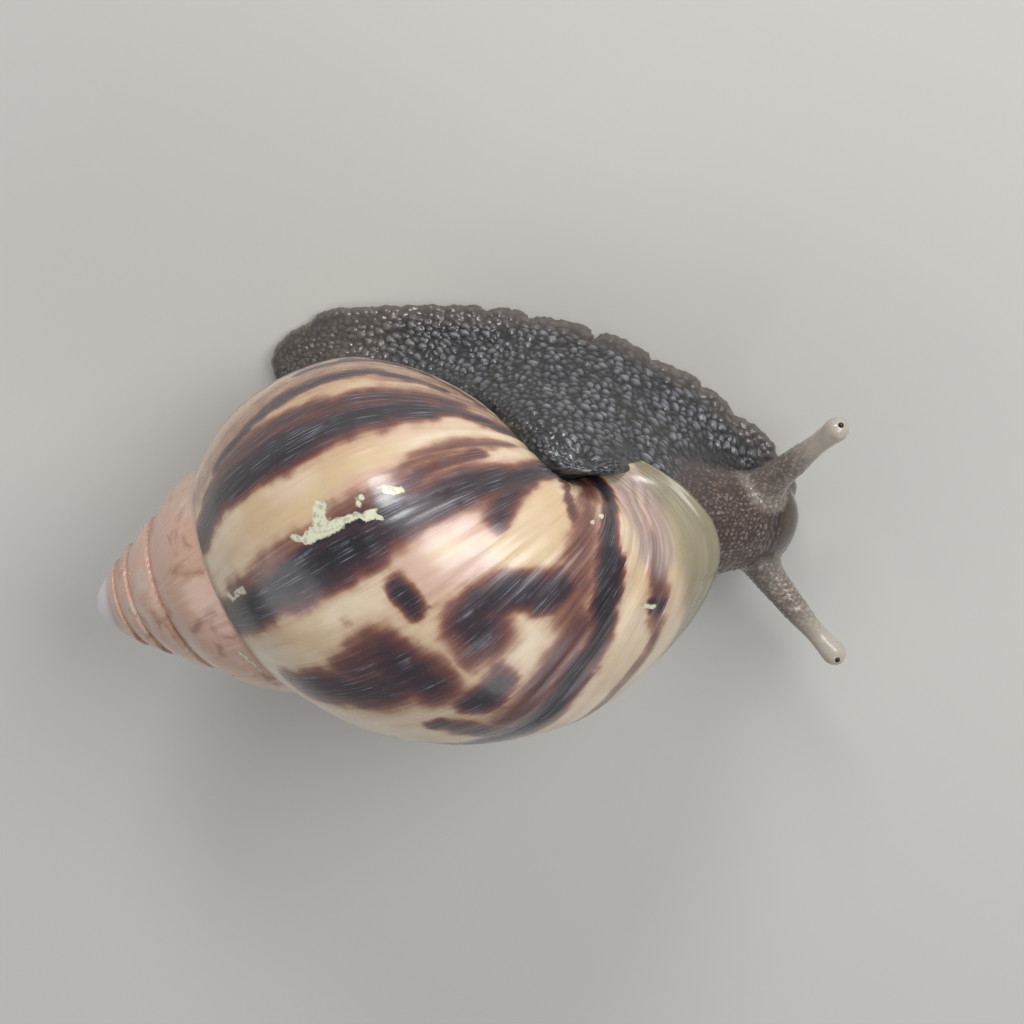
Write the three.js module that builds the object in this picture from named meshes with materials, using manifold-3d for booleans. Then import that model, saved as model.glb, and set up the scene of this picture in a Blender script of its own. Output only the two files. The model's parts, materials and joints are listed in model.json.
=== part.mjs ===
// Giant African land snail, life size, crawling with its head out and its shell carried over the foot.
// Millimetres. +X is the way the snail crawls, +Y its left side, +Z up. The sole lies on z = 0 and the
// origin is the middle of the sole. Every piece is its own closed solid, 0.3 mm clear of its neighbours.
import * as THREE from "three";
import { mergeVertices } from "three/addons/utils/BufferGeometryUtils.js";
import Module from "manifold-3d";

const wasm = await Module();
wasm.setup();

const TURN = 2 * Math.PI;
const UP = new THREE.Vector3(0, 0, 1);
const GAP = 0.3;
const SPACE = 100; // further than any piece reaches from the origin
const WELD = 1e-4; // vertices closer than this are one
const BALL_SIDES = 12;
const point = (x, y, z) => new THREE.Vector3(x, y, z);
const degrees = THREE.MathUtils.degToRad;

// ---- Driving dimensions: shell -------------------------------------------------------------------
// The shell's own frame has z along its axis from the point where the spiral would start to the base,
// and x towards the suture end of the finished lip. Each growth line is the lip, shrunk and turned.
// [radius, height] of the growth line at the lip, from the suture round the flank to the columella.
const LIP_LINE = [
  [18.9, 32.3],
  [24.4, 38.7],
  [27.6, 45.5],
  [29.1, 52.9],
  [28.6, 61.3],
  [25.0, 68.6],
  [20.6, 74.2],
  [15.0, 79.0],
  [10.0, 80.3],
  [5.2, 78.9],
  [2.2, 76.9],
  [0, 74.8],
];
const LIP_SLANT = [-0.686, 0.144, -0.058]; // radians that the growth line falls back, by powers of its length
const GROWTH_AT_LIP = 0.097; // growth rate per radian of the spiral at the lip
const GROWTH_AT_APEX = 0.0083; // and at the apex
const GROWTH_FADE = 17.6; // radians over which the first changes to the second
const WHORLS = 5;
const STEPS_PER_WHORL = 36;
const SUTURE_LAG = 1; // steps by which a whorl's growth line has fallen back where the next whorl meets it
const SUTURE_SEARCH = 0.6; // share of the growth line along which that meeting is looked for
const SUTURE_TRIALS = 61;
const STRIP_COLUMNS = 4;
const PARIETAL_COLUMNS = 9;
const APEX_HEIGHT = 3.9; // height of the blunt tip above the start of the spiral
const APEX_RINGS = [0.45, 0.8]; // rings of the rounded tip, as shares of the way in to its middle
const LIP_WALL = 1.2;
const MANTLE_INSET = 1.7;
const FURTHEST_IN = 0.9; // share of the way to the mouth's middle that a wall never passes
const HALVINGS = 12; // steps in finding where a wall's inside lies
// How far the mouth's hollow, and the mantle's two ends, lie back in the whorl: radians round the axis.
const MOUTH_TURN_BACK = 0.16;
const MANTLE_TURNS_BACK = [0.03, 0.12];
const SHELL_START = point(-47.8, -28, 24); // where the spiral would start, in the snail's frame
const SHELL_YAW = degrees(36.7);
const SHELL_PITCH = degrees(-0.9);
const SHELL_ROLL = degrees(19.9);

// ---- Driving dimensions: body --------------------------------------------------------------------
const FOOT_REAR = -34;
const FOOT_FRONT = 32.4;
const FOOT_MIDDLE_Y = 3;
const FOOT_HALF_WIDTH = 16.1;
const FOOT_TAPER = { rear: 1.5, front: 2.0 }; // powers of the way out from the middle to either end
// [distance out from the foot's outer edge, height] up its thin rounded margin, from the flat of the sole
const MARGIN = [
  [-1.2, 0],
  [-0.3, 0.36],
  [0, 0.9],
  [-0.35, 1.44],
];
const MARGIN_FULL_FROM = 3; // half width of the foot below which the margin's rounding shrinks with it
const FOOT_STATIONS = 36;
const LEAST_END = 0.0005; // keeps the sections at the foot's two ends from closing to a point
const FLANK_ROWS = 7;
const CROWN_COLUMNS = 5;
const FLARE = 2.1; // power of the curve from the steep flank out to the foot's edge
const SHOULDER = 0.8; // height of the flank's top, as a share of the back's height
// [place along the foot, height of the back] and [place, half width of the back as a share of the foot]
const BACK_HEIGHT = [
  [-34, 1.6],
  [-30, 4.4],
  [-24, 7.4],
  [-16, 12],
  [-8, 19],
  [-2, 26],
  [4, 30],
  [12, 29],
  [17, 24],
  [21, 17],
  [25, 9.5],
  [29, 4.6],
  [32.4, 1.8],
];
const BACK_WIDTH = [
  [-34, 0.4],
  [-24, 0.45],
  [-12, 0.62],
  [-2, 0.86],
  [8, 0.86],
  [16, 0.76],
  [24, 0.54],
  [32.4, 0.42],
];
const RIGHT_SIDE_NARROWING = 0.88; // the back leans to the left, over the columella

// Neck and head: [centre x, y, z, half width, half height] from inside the trunk to the snout.
const NECK_LINE = [
  [10, 4.6, 19, 8.4, 8.0],
  [16, 5.2, 16.6, 7.8, 7.4],
  [21, 5.6, 13.8, 6.8, 6.8],
  [24.5, 5.7, 11.4, 6.2, 6.0],
  [27.6, 5.4, 9.3, 6.0, 5.3],
  [29.7, 4.9, 7.7, 5.3, 4.5],
  [31.1, 4.6, 6.5, 3.8, 3.2],
  [31.8, 4.5, 5.8, 1.7, 1.4],
];
const NECK_SIDES = 18;
const NECK_RINGS = 13;
const MOUTH_LOBES = {
  left: { centre: point(29.7, 7.6, 4.2), size: point(2.5, 2.65, 2.6) },
  right: { centre: point(31.2, 1.5, 4.2), size: point(2.5, 2.65, 2.6) },
};
const LOWER_TENTACLES = {
  left: { root: point(30.0, 7.9, 4.6), tip: point(30.9, 7.8, 1.9) },
  right: { root: point(31.4, 1.4, 4.6), tip: point(32.3, 1.3, 1.9) },
};
const LOWER_RADII = [
  [0, 1.1],
  [0.6, 0.9],
  [1, 0.8],
];
const LOWER_RINGS = 3;
const UPPER_TENTACLES = {
  left: {
    route: [point(26.6, 9.0, 10), point(27.9, 12.4, 11.2), point(30.2, 17.9, 12.8), point(32.8, 23.4, 14)],
    eye: point(0.14, 0.81, 0.57),
  },
  right: {
    route: [point(28.6, 2.6, 9.6), point(31.2, 0.2, 10.6), point(36.6, -3.3, 12), point(42.5, -6.8, 13)],
    eye: point(0.35, 0.05, 0.93),
  },
};
// [share of the way along, radius]: wide root, slim stalk, round bulb.
const TENTACLE_RADII = [
  [0, 2.9],
  [0.16, 2.5],
  [0.4, 1.8],
  [0.66, 1.4],
  [0.84, 1.1],
  [0.92, 1.22],
  [1, 1.42],
];
const TENTACLE_SIDES = 12;
const TENTACLE_RINGS = 11;
const BULB_RINGS = 4;
const BULB_TURN = degrees(82); // how far the rounded end is carried round before it is closed
const TENTACLE_PARTING = 0.52; // share of the way along where the root length ends and the tip length starts
const PLATE_SIDE = 8; // side of the plate that parts them, wider than the tentacle there
const EYE_RADIUS = 0.36;
const EYE_CLEARANCE = 0.1;
const EYE_SUNK = 0.16; // how far the eye's middle lies under the bulb's skin

// Planes that part the body into its lengths, by x, and the trunk from the foot, by z.
const TAIL_PLANE = -19;
const FOOT_PLANE = 4;
const TRUNK_PLANE = 6.5;
const NECK_PLANE = 19.5;
const HEAD_PLANE = 26;

// ---- Materials -----------------------------------------------------------------------------------
const finish = (color, roughness) => new THREE.MeshStandardMaterial({ color, roughness, metalness: 0 });
const shellFinish = finish(0xb98f6a, 0.3);
const flankFinish = finish(0x4a4b4e, 0.45);
const neckFinish = finish(0x6b5b50, 0.45);
const tentacleFinish = finish(0x8d857c, 0.4);
const mantleFinish = finish(0x8a7c68, 0.45);
const eyeFinish = finish(0x0d0c0c, 0.15);

// ---- Helpers -------------------------------------------------------------------------------------
// A smooth curve of sizes through [place, size] pairs.
function sizesAlong(pairs) {
  const places = pairs.map(([place]) => place);
  const sizes = pairs.map(([, size]) => size);
  const curve = new THREE.CubicInterpolant(places, sizes, 1);
  return (place) => curve.evaluate(THREE.MathUtils.clamp(place, places[0], places.at(-1)))[0];
}

// A closed mesh from vertices and triangles, turned so that its faces point out.
function closedGeometry(vertices, triangles) {
  const volume = triangles.reduce(
    (sum, [a, b, c]) => sum + vertices[a].dot(vertices[b].clone().cross(vertices[c])),
    0,
  );
  const outward = volume < 0 ? triangles.map(([a, b, c]) => [a, c, b]) : triangles;
  const geometry = new THREE.BufferGeometry();
  const positions = vertices.flatMap((vertex) => vertex.toArray());
  geometry.setAttribute("position", new THREE.Float32BufferAttribute(positions, 3));
  geometry.setIndex(outward.flat());
  return geometry;
}

// A solid through rings of points, with its first and last ring closed by a fan.
function loft(rings, hubs = [middleOf(rings[0]), middleOf(rings.at(-1))]) {
  const sides = rings[0].length;
  const vertices = rings.flat();
  const triangles = [];
  for (let ring = 0; ring + 1 < rings.length; ring += 1) {
    for (let side = 0; side < sides; side += 1) {
      const a = ring * sides + side;
      const b = ring * sides + ((side + 1) % sides);
      triangles.push([a, b, b + sides], [a, b + sides, a + sides]);
    }
  }
  for (const [ring, flip] of [[0, true], [rings.length - 1, false]]) {
    const hub = vertices.push(hubs[flip ? 0 : 1]) - 1;
    for (let side = 0; side < sides; side += 1) {
      const a = ring * sides + side;
      const b = ring * sides + ((side + 1) % sides);
      triangles.push(flip ? [hub, b, a] : [hub, a, b]);
    }
  }
  return closedGeometry(vertices, triangles);
}

function middleOf(points) {
  return points.reduce((sum, one) => sum.add(one), point(0, 0, 0)).divideScalar(points.length);
}

function solid(geometry) {
  geometry.deleteAttribute("normal");
  geometry.deleteAttribute("uv");
  const merged = mergeVertices(geometry, WELD);
  const vertProperties = new Float32Array(merged.attributes.position.array);
  const triVerts = new Uint32Array(merged.index.array);
  return new wasm.Manifold(new wasm.Mesh({ numProp: 3, vertProperties, triVerts }));
}

// A ball of one radius, or an oval one of three half sizes.
function ball(centre, size) {
  const half = size.isVector3 ? size : point(size, size, size);
  const geometry = new THREE.SphereGeometry(1, BALL_SIDES, BALL_SIDES / 2);
  geometry.scale(half.x, half.y, half.z);
  geometry.translate(centre.x, centre.y, centre.z);
  return solid(geometry);
}

// All of space between two x planes and two z planes, wide enough for the whole snail.
function slab(fromX, toX, fromZ = -SPACE, toZ = SPACE) {
  const geometry = new THREE.BoxGeometry(toX - fromX, 2 * SPACE, toZ - fromZ);
  geometry.translate((fromX + toX) / 2, 0, (fromZ + toZ) / 2);
  return solid(geometry);
}

const part = new THREE.Group();

function addPiece(name, shape, material) {
  const { vertProperties, triVerts } = shape.getMesh();
  const geometry = new THREE.BufferGeometry();
  geometry.setAttribute("position", new THREE.Float32BufferAttribute(vertProperties, 3));
  geometry.setIndex(Array.from(triVerts));
  geometry.computeVertexNormals();
  const piece = new THREE.Mesh(geometry, material);
  piece.name = name;
  part.add(piece);
}

// ---- Shell ---------------------------------------------------------------------------------------
const shellToSnail = (() => {
  const axis = point(
    Math.cos(SHELL_PITCH) * Math.cos(SHELL_YAW),
    Math.cos(SHELL_PITCH) * Math.sin(SHELL_YAW),
    Math.sin(SHELL_PITCH),
  );
  const level = axis.clone().cross(UP).normalize();
  const lipWay = level.applyAxisAngle(axis, SHELL_ROLL);
  const third = axis.clone().cross(lipWay);
  return new THREE.Matrix4().makeBasis(lipWay, third, axis).setPosition(SHELL_START);
})();

const lipCurve = new THREE.SplineCurve(LIP_LINE.map(([radius, height]) => new THREE.Vector2(radius, height)));

// Size of the growth line at an angle, as a share of the lip: 1 at the lip, less before it.
function growth(angle) {
  const fading = (GROWTH_AT_LIP - GROWTH_AT_APEX) * GROWTH_FADE * (Math.exp(angle / GROWTH_FADE) - 1);
  return Math.exp(GROWTH_AT_APEX * angle + fading);
}

// A point of the shell's outside, pushed out by a clearance.
function shellPoint(angle, along, clearance = 0) {
  const size = growth(angle);
  const spot = lipCurve.getPointAt(along).multiplyScalar(size);
  const tangent = lipCurve.getTangentAt(along);
  spot.add(new THREE.Vector2(tangent.y, -tangent.x).multiplyScalar(clearance));
  const slant = along * (LIP_SLANT[0] + along * (LIP_SLANT[1] + along * LIP_SLANT[2]));
  const radius = Math.max(spot.x, 0);
  return point(radius * Math.cos(angle + slant), radius * Math.sin(angle + slant), spot.y);
}

// Where along a growth line the next whorl's suture lies.
function sutureMeeting(angle) {
  const next = angle + TURN - (SUTURE_LAG * TURN) / STEPS_PER_WHORL;
  const target = shellPoint(next, 0);
  const spacing = SUTURE_SEARCH / (SUTURE_TRIALS - 1);
  const trials = Array.from({ length: SUTURE_TRIALS }, (_, trial) => trial * spacing);
  const misses = trials.map((along) => shellPoint(angle, along).distanceTo(target));
  return trials[misses.indexOf(Math.min(...misses))];
}

// Outside of the shell as rows of points, one row for each growth line, and the rim of its mouth.
function shellSurface(clearance) {
  const rows = WHORLS * STEPS_PER_WHORL + 1;
  const lag = STEPS_PER_WHORL - SUTURE_LAG;
  const firstOpen = rows - 1 - lag;
  const angleOf = (row) => ((row - rows + 1) * TURN) / STEPS_PER_WHORL;
  const vertices = [];
  const grid = Array.from({ length: rows }, () => []);
  for (let row = 0; row < rows; row += 1) {
    grid[row][0] = vertices.push(shellPoint(angleOf(row), 0, clearance)) - 1;
  }
  for (let row = 0; row < rows; row += 1) {
    const angle = angleOf(row);
    const meeting = sutureMeeting(Math.min(angle, angleOf(firstOpen)));
    for (let column = 1; column < STRIP_COLUMNS; column += 1) {
      grid[row][column] = vertices.push(shellPoint(angle, (meeting * column) / STRIP_COLUMNS, clearance)) - 1;
    }
    grid[row][STRIP_COLUMNS] =
      row <= firstOpen ? grid[row + lag][0] : vertices.push(shellPoint(angle, meeting, clearance)) - 1;
    for (let column = 1; row >= firstOpen && column <= PARIETAL_COLUMNS; column += 1) {
      const along = meeting + ((1 - meeting) * column) / PARIETAL_COLUMNS;
      grid[row][STRIP_COLUMNS + column] = vertices.push(shellPoint(angle, along, clearance)) - 1;
    }
  }
  const triangles = [];
  for (let row = 0; row + 1 < rows; row += 1) {
    const columns = Math.min(grid[row].length, grid[row + 1].length);
    for (let column = 0; column + 1 < columns; column += 1) {
      const [a, b] = [grid[row][column], grid[row][column + 1]];
      const [c, d] = [grid[row + 1][column], grid[row + 1][column + 1]];
      triangles.push([a, b, d], [a, d, c]);
    }
  }
  const start = [...grid[0].slice(0, STRIP_COLUMNS)];
  for (let row = lag; row > 0; row -= 1) start.push(grid[row][0]);
  closeApex(vertices, triangles, start);
  const mouth = [...grid[rows - 1]];
  for (let row = rows - 2; row > firstOpen; row -= 1) mouth.push(grid[row].at(-1));
  mouth.push(...grid[firstOpen].slice(STRIP_COLUMNS + 1).reverse());
  return { vertices, triangles, mouth: mouth.reverse() };
}

// Rounded tip over the loop where the first whorl starts.
function closeApex(vertices, triangles, loop) {
  const tip = point(0, 0, APEX_HEIGHT);
  let outer = loop;
  for (const share of APEX_RINGS) {
    const inner = outer.map((_, place) => {
      const rim = vertices[loop[place]];
      const spot = rim.clone().multiplyScalar(1 - share);
      spot.z = rim.z + (tip.z - rim.z) * (1 - (1 - share) ** 2);
      return vertices.push(spot) - 1;
    });
    stitch(triangles, outer, inner);
    outer = inner;
  }
  closeLoop(vertices, triangles, outer, tip);
}

function stitch(triangles, outer, inner) {
  outer.forEach((a, place) => {
    const following = (place + 1) % outer.length;
    triangles.push([a, inner[place], inner[following]], [a, inner[following], outer[following]]);
  });
}

function closeLoop(vertices, triangles, loop, centre) {
  const hub = vertices.push(centre) - 1;
  loop.forEach((a, place) => triangles.push([a, hub, loop[(place + 1) % loop.length]]));
}

// The rim of the mouth moved in towards its middle until it is an inset away from every part of the rim.
function mouthLoop(surface, inset) {
  const rim = surface.mouth.map((index) => surface.vertices[index]);
  const edges = rim.map((spot, place) => new THREE.Line3(spot, rim[(place + 1) % rim.length]));
  const nearest = point(0, 0, 0);
  const girth = edges.reduce((sum, edge) => sum + edge.distance(), 0);
  const middle = edges.reduce(
    (sum, edge) => sum.addScaledVector(edge.getCenter(nearest), edge.distance() / girth),
    point(0, 0, 0),
  );
  const away = (spot) =>
    Math.min(...edges.map((edge) => edge.closestPointToPoint(spot, true, nearest).distanceTo(spot)));
  const loop = rim.map((spot) => {
    let near = 0;
    let far = FURTHEST_IN;
    for (let halving = 0; halving < HALVINGS; halving += 1) {
      const trial = (near + far) / 2;
      if (away(spot.clone().lerp(middle, trial)) < inset) near = trial;
      else far = trial;
    }
    return spot.clone().lerp(middle, far);
  });
  return { loop, middle };
}

// The same place further back inside the whorl: turned back round the shell's axis and shrunk with it.
function backInWhorl(spot, angle) {
  return spot.clone().applyAxisAngle(UP, -angle).multiplyScalar(growth(-angle));
}

const plainSurface = shellSurface(0);
// Straight out of the mouth: square to the rim on the whole.
const mouthNormal = (() => {
  const rim = plainSurface.mouth.map((index) => plainSurface.vertices[index]);
  const area = point(0, 0, 0);
  rim.forEach((spot, place) => area.add(spot.clone().cross(rim[(place + 1) % rim.length])));
  const outward = area.normalize();
  return outward.dot(point(0, 1, 0)) < 0 ? outward.negate() : outward;
})();

function buildShell() {
  const { vertices, triangles, mouth } = shellSurface(0);
  const { loop, middle } = mouthLoop(plainSurface, LIP_WALL);
  const inner = loop.map((spot) => vertices.push(spot) - 1);
  const deep = loop.map((spot) => vertices.push(backInWhorl(spot, MOUTH_TURN_BACK)) - 1);
  stitch(triangles, mouth, inner);
  stitch(triangles, inner, deep);
  closeLoop(vertices, triangles, deep, backInWhorl(middle, MOUTH_TURN_BACK));
  return solid(closedGeometry(vertices, triangles).applyMatrix4(shellToSnail));
}

// The room that the body has to leave to the shell: its outside with a gap, closed just outside the mouth.
function buildShellRoom() {
  const surface = shellSurface(GAP);
  const { vertices, triangles, mouth } = surface;
  const { loop, middle } = mouthLoop(surface, GAP);
  const cover = loop.map((spot) => vertices.push(spot.addScaledVector(mouthNormal, GAP)) - 1);
  stitch(triangles, mouth, cover);
  closeLoop(vertices, triangles, cover, middle.addScaledVector(mouthNormal, GAP));
  return solid(closedGeometry(vertices, triangles).applyMatrix4(shellToSnail));
}

// The living edge that fills the shell's mouth, clear of its wall.
function buildMantle() {
  const { loop, middle } = mouthLoop(plainSurface, MANTLE_INSET);
  const rings = MANTLE_TURNS_BACK.map((angle) => loop.map((spot) => backInWhorl(spot, angle)));
  const hubs = MANTLE_TURNS_BACK.map((angle) => backInWhorl(middle, angle));
  return solid(loft(rings, hubs).applyMatrix4(shellToSnail));
}

// ---- Foot and trunk ------------------------------------------------------------------------------
const backHeight = sizesAlong(BACK_HEIGHT);
const backWidth = sizesAlong(BACK_WIDTH);

function footHalfWidth(x) {
  const along = (2 * x - FOOT_REAR - FOOT_FRONT) / (FOOT_FRONT - FOOT_REAR);
  const taper = along < 0 ? FOOT_TAPER.rear : FOOT_TAPER.front;
  return FOOT_HALF_WIDTH * Math.sqrt(Math.max(1 - Math.abs(along) ** taper, LEAST_END));
}

// One side of a section: [distance from the middle, height] from the sole's edge to the shoulder.
function flankSide(halfWidth, top, height) {
  const thin = Math.min(1, halfWidth / MARGIN_FULL_FROM);
  const side = MARGIN.map(([out, up]) => [halfWidth + out * thin, up]);
  const [edge, foot] = side.at(-1);
  for (let row = 1; row <= FLANK_ROWS; row += 1) {
    const share = row / FLANK_ROWS;
    const out = top + (edge - top) * (1 - share) ** FLARE;
    side.push([out, foot + (SHOULDER * height - foot) * share]);
  }
  return side;
}

function footSection(x) {
  const halfWidth = footHalfWidth(x);
  const height = backHeight(x);
  const top = halfWidth * backWidth(x);
  const place = (out, up) => point(x, FOOT_MIDDLE_Y + out, up);
  const left = flankSide(halfWidth, top, height);
  const right = flankSide(halfWidth, top * RIGHT_SIDE_NARROWING, height);
  const ring = left.map(([out, up]) => place(out, up));
  for (let column = 1; column < CROWN_COLUMNS; column += 1) {
    const turn = (Math.PI * column) / CROWN_COLUMNS;
    const reach = Math.cos(turn) * (column * 2 > CROWN_COLUMNS ? RIGHT_SIDE_NARROWING : 1);
    ring.push(place(top * reach, height * (SHOULDER + (1 - SHOULDER) * Math.sin(turn))));
  }
  ring.push(...right.reverse().map(([out, up]) => place(-out, up)));
  return ring;
}

function buildFoot() {
  const rings = [];
  for (let station = 0; station <= FOOT_STATIONS; station += 1) {
    const share = (1 - Math.cos((Math.PI * station) / FOOT_STATIONS)) / 2;
    rings.push(footSection(FOOT_REAR + share * (FOOT_FRONT - FOOT_REAR)));
  }
  return solid(loft(rings));
}

// ---- Neck and head -------------------------------------------------------------------------------
// Rings square to a curve, each with its own half width and half height.
function ringsAlong(curve, count, sides, sizeAt) {
  return Array.from({ length: count + 1 }, (_, ring) => {
    const share = ring / count;
    const centre = curve.getPoint(share);
    const ahead = curve.getTangent(share);
    const across = UP.clone().cross(ahead).normalize();
    const above = ahead.clone().cross(across);
    const [wide, high] = sizeAt(share);
    return Array.from({ length: sides }, (_, side) => {
      const turn = (TURN * side) / sides;
      return centre
        .clone()
        .addScaledVector(across, wide * Math.cos(turn))
        .addScaledVector(above, high * Math.sin(turn));
    });
  });
}

function buildNeck() {
  const curve = new THREE.CatmullRomCurve3(NECK_LINE.map(([x, y, z]) => point(x, y, z)));
  const shares = NECK_LINE.map((_, place) => place / (NECK_LINE.length - 1));
  const wide = sizesAlong(NECK_LINE.map((station, place) => [shares[place], station[3]]));
  const high = sizesAlong(NECK_LINE.map((station, place) => [shares[place], station[4]]));
  return solid(loft(ringsAlong(curve, NECK_RINGS, NECK_SIDES, (share) => [wide(share), high(share)])));
}

// ---- Tentacles -----------------------------------------------------------------------------------
function buildTentacle(route, radii, rings) {
  const curve = new THREE.CatmullRomCurve3(route);
  const radius = sizesAlong(radii);
  const stalk = ringsAlong(curve, rings, TENTACLE_SIDES, (share) => [radius(share), radius(share)]);
  const tip = route.at(-1);
  const ahead = curve.getTangent(1);
  const last = stalk.at(-1);
  for (let ring = 1; ring <= BULB_RINGS; ring += 1) {
    const turn = BULB_TURN * (ring / BULB_RINGS);
    const reach = radii.at(-1)[1] * Math.sin(turn);
    stalk.push(last.map((spot) => tip.clone().lerp(spot, Math.cos(turn)).addScaledVector(ahead, reach)));
  }
  return solid(loft(stalk));
}

// The same radii with room for a gap all round.
function wider(radii) {
  return radii.map(([share, radius]) => [share, radius + GAP]);
}

// Centre of the eye: half sunk in the bulb's skin, on the side that it looks to.
function eyeSpot(route, way) {
  return route.at(-1).clone().addScaledVector(way.clone().normalize(), TENTACLE_RADII.at(-1)[1] - EYE_SUNK);
}

// How far forward a piece reaches.
function outreach(shape) {
  return shape.boundingBox().max[0];
}

function tentacleCut(route) {
  const curve = new THREE.CatmullRomCurve3(route);
  const spot = curve.getPoint(TENTACLE_PARTING);
  const ahead = curve.getTangent(TENTACLE_PARTING);
  const turn = new THREE.Quaternion().setFromUnitVectors(point(1, 0, 0), ahead);
  const plate = new THREE.BoxGeometry(GAP, PLATE_SIDE, PLATE_SIDE);
  return solid(plate.applyQuaternion(turn).translate(spot.x, spot.y, spot.z));
}

// ---- Putting it together -------------------------------------------------------------------------
const HALF_GAP = GAP / 2;
const BEYOND = 2 * SPACE;

// What is left of a shape between two places along x.
function between(shape, fromX, toX) {
  return shape.intersect(slab(fromX + HALF_GAP, toX - HALF_GAP));
}

addPiece("shell", buildShell(), shellFinish);
addPiece("mantle_collar", buildMantle(), mantleFinish);

const body = buildFoot().add(buildNeck()).subtract(buildShellRoom());

addPiece("tail", between(body, -BEYOND, TAIL_PLANE), flankFinish);
const below = body.intersect(slab(-SPACE, SPACE, -SPACE, TRUNK_PLANE - HALF_GAP));
addPiece("foot_middle", between(below, TAIL_PLANE, FOOT_PLANE), flankFinish);
addPiece("foot_front", between(below, FOOT_PLANE, HEAD_PLANE), flankFinish);
const above = body.intersect(slab(-SPACE, SPACE, TRUNK_PLANE + HALF_GAP, SPACE));
addPiece("trunk", between(above, TAIL_PLANE, NECK_PLANE), flankFinish);

let head = between(body, HEAD_PLANE, BEYOND);
let neck = between(above, NECK_PLANE, HEAD_PLANE);
const roomy = (size) => size.clone().addScalar(GAP);
for (const side of ["left", "right"]) {
  const { centre, size } = MOUTH_LOBES[side];
  const { root, tip } = LOWER_TENTACLES[side];
  const { route, eye } = UPPER_TENTACLES[side];
  const headRoom = buildTentacle(route, wider(TENTACLE_RADII), TENTACLE_RINGS);
  const lowerRoom = buildTentacle([root, tip], wider(LOWER_RADII), LOWER_RINGS);
  const lobe = ball(centre, size).subtract(lowerRoom);
  head = head.subtract(headRoom).subtract(lowerRoom).subtract(ball(centre, roomy(size)));
  neck = neck.subtract(headRoom);
  addPiece(`mouth_lobe_${side}`, lobe, neckFinish);
  addPiece(`tentacle_lower_${side}`, buildTentacle([root, tip], LOWER_RADII, LOWER_RINGS), tentacleFinish);

  const socket = ball(eyeSpot(route, eye), EYE_RADIUS + EYE_CLEARANCE);
  const whole = buildTentacle(route, TENTACLE_RADII, TENTACLE_RINGS).subtract(socket);
  const lengths = whole.subtract(tentacleCut(route)).decompose();
  lengths.sort((one, other) => outreach(one) - outreach(other));
  addPiece(`tentacle_${side}_root`, lengths[0], tentacleFinish);
  addPiece(`tentacle_${side}_tip`, lengths[1], tentacleFinish);
  addPiece(`eye_${side}`, ball(eyeSpot(route, eye), EYE_RADIUS), eyeFinish);
}
addPiece("neck", neck, neckFinish);
addPiece("head", head, neckFinish);

export default part;
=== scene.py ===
import itertools
import json
import math

import bpy
import numpy as np
from bpy.props import FloatProperty, FloatVectorProperty, IntProperty, PointerProperty
from mathutils import Matrix, Vector
from mathutils.bvhtree import BVHTree

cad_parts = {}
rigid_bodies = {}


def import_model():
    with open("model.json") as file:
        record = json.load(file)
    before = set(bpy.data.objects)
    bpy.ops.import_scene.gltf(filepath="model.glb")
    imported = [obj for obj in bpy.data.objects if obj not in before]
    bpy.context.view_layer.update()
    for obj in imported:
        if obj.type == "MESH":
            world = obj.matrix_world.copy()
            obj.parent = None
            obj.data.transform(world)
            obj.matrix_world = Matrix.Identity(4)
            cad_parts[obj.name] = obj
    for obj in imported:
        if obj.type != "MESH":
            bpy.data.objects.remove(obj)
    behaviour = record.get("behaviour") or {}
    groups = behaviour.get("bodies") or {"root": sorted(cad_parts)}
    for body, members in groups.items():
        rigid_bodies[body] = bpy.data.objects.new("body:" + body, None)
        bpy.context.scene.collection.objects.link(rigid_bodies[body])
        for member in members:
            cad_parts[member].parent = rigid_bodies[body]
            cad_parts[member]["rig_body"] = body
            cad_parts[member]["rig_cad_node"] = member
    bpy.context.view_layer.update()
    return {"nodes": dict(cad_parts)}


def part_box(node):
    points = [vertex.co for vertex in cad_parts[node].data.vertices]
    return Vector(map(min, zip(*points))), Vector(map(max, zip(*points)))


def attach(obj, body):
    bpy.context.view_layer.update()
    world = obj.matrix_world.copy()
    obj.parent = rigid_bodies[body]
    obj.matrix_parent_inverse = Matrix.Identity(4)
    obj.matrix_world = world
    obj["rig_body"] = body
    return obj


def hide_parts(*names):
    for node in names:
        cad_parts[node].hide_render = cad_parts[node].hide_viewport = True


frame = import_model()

bl_info = {
    "name": "Giant African Land Snail",
    "version": (1, 0, 0),
    "blender": (4, 5, 0),
    "location": "View3D > Sidebar > Snail",
    "description": "Life-size still model of a crawling giant African land snail",
    "category": "Object",
}

MM = 0.001
TURN = 2 * math.pi

FLESH = (
    "mantle_collar", "tail", "foot_middle", "foot_front", "trunk", "neck", "head",
    "mouth_lobe_left", "mouth_lobe_right", "tentacle_lower_left", "tentacle_lower_right",
    "tentacle_left_root", "tentacle_left_tip", "tentacle_right_root", "tentacle_right_tip",
)

# ---- The shell's form, in millimetres, in its own frame: spiral start at the origin, axis along Z ----
# Growth line at the lip as [distance from the axis, distance from the spiral's start].
LIP_LINE = (
    (18.9, 32.3), (24.4, 38.7), (27.6, 45.5), (29.1, 52.9), (28.6, 61.3), (25.0, 68.6),
    (20.6, 74.2), (15.0, 79.0), (10.0, 80.3), (5.2, 78.9), (2.2, 76.9), (0.0, 74.8),
)
LIP_SLANT = (-0.686, 0.144, -0.058)
GROWTH_AT_LIP = 0.097
GROWTH_AT_APEX = 0.0083
GROWTH_FADE = 17.6
WHORLS = 5
APEX_HEIGHT = 3.9
SHELL_START = (-47.8, -28.0, 24.0)
SHELL_YAW = math.radians(36.7)
SHELL_PITCH = math.radians(-0.9)
SHELL_ROLL = math.radians(19.9)

# Height that parts the open edge of the apex from that of the mouth.
MIDDLE_HEIGHT = 12
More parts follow.
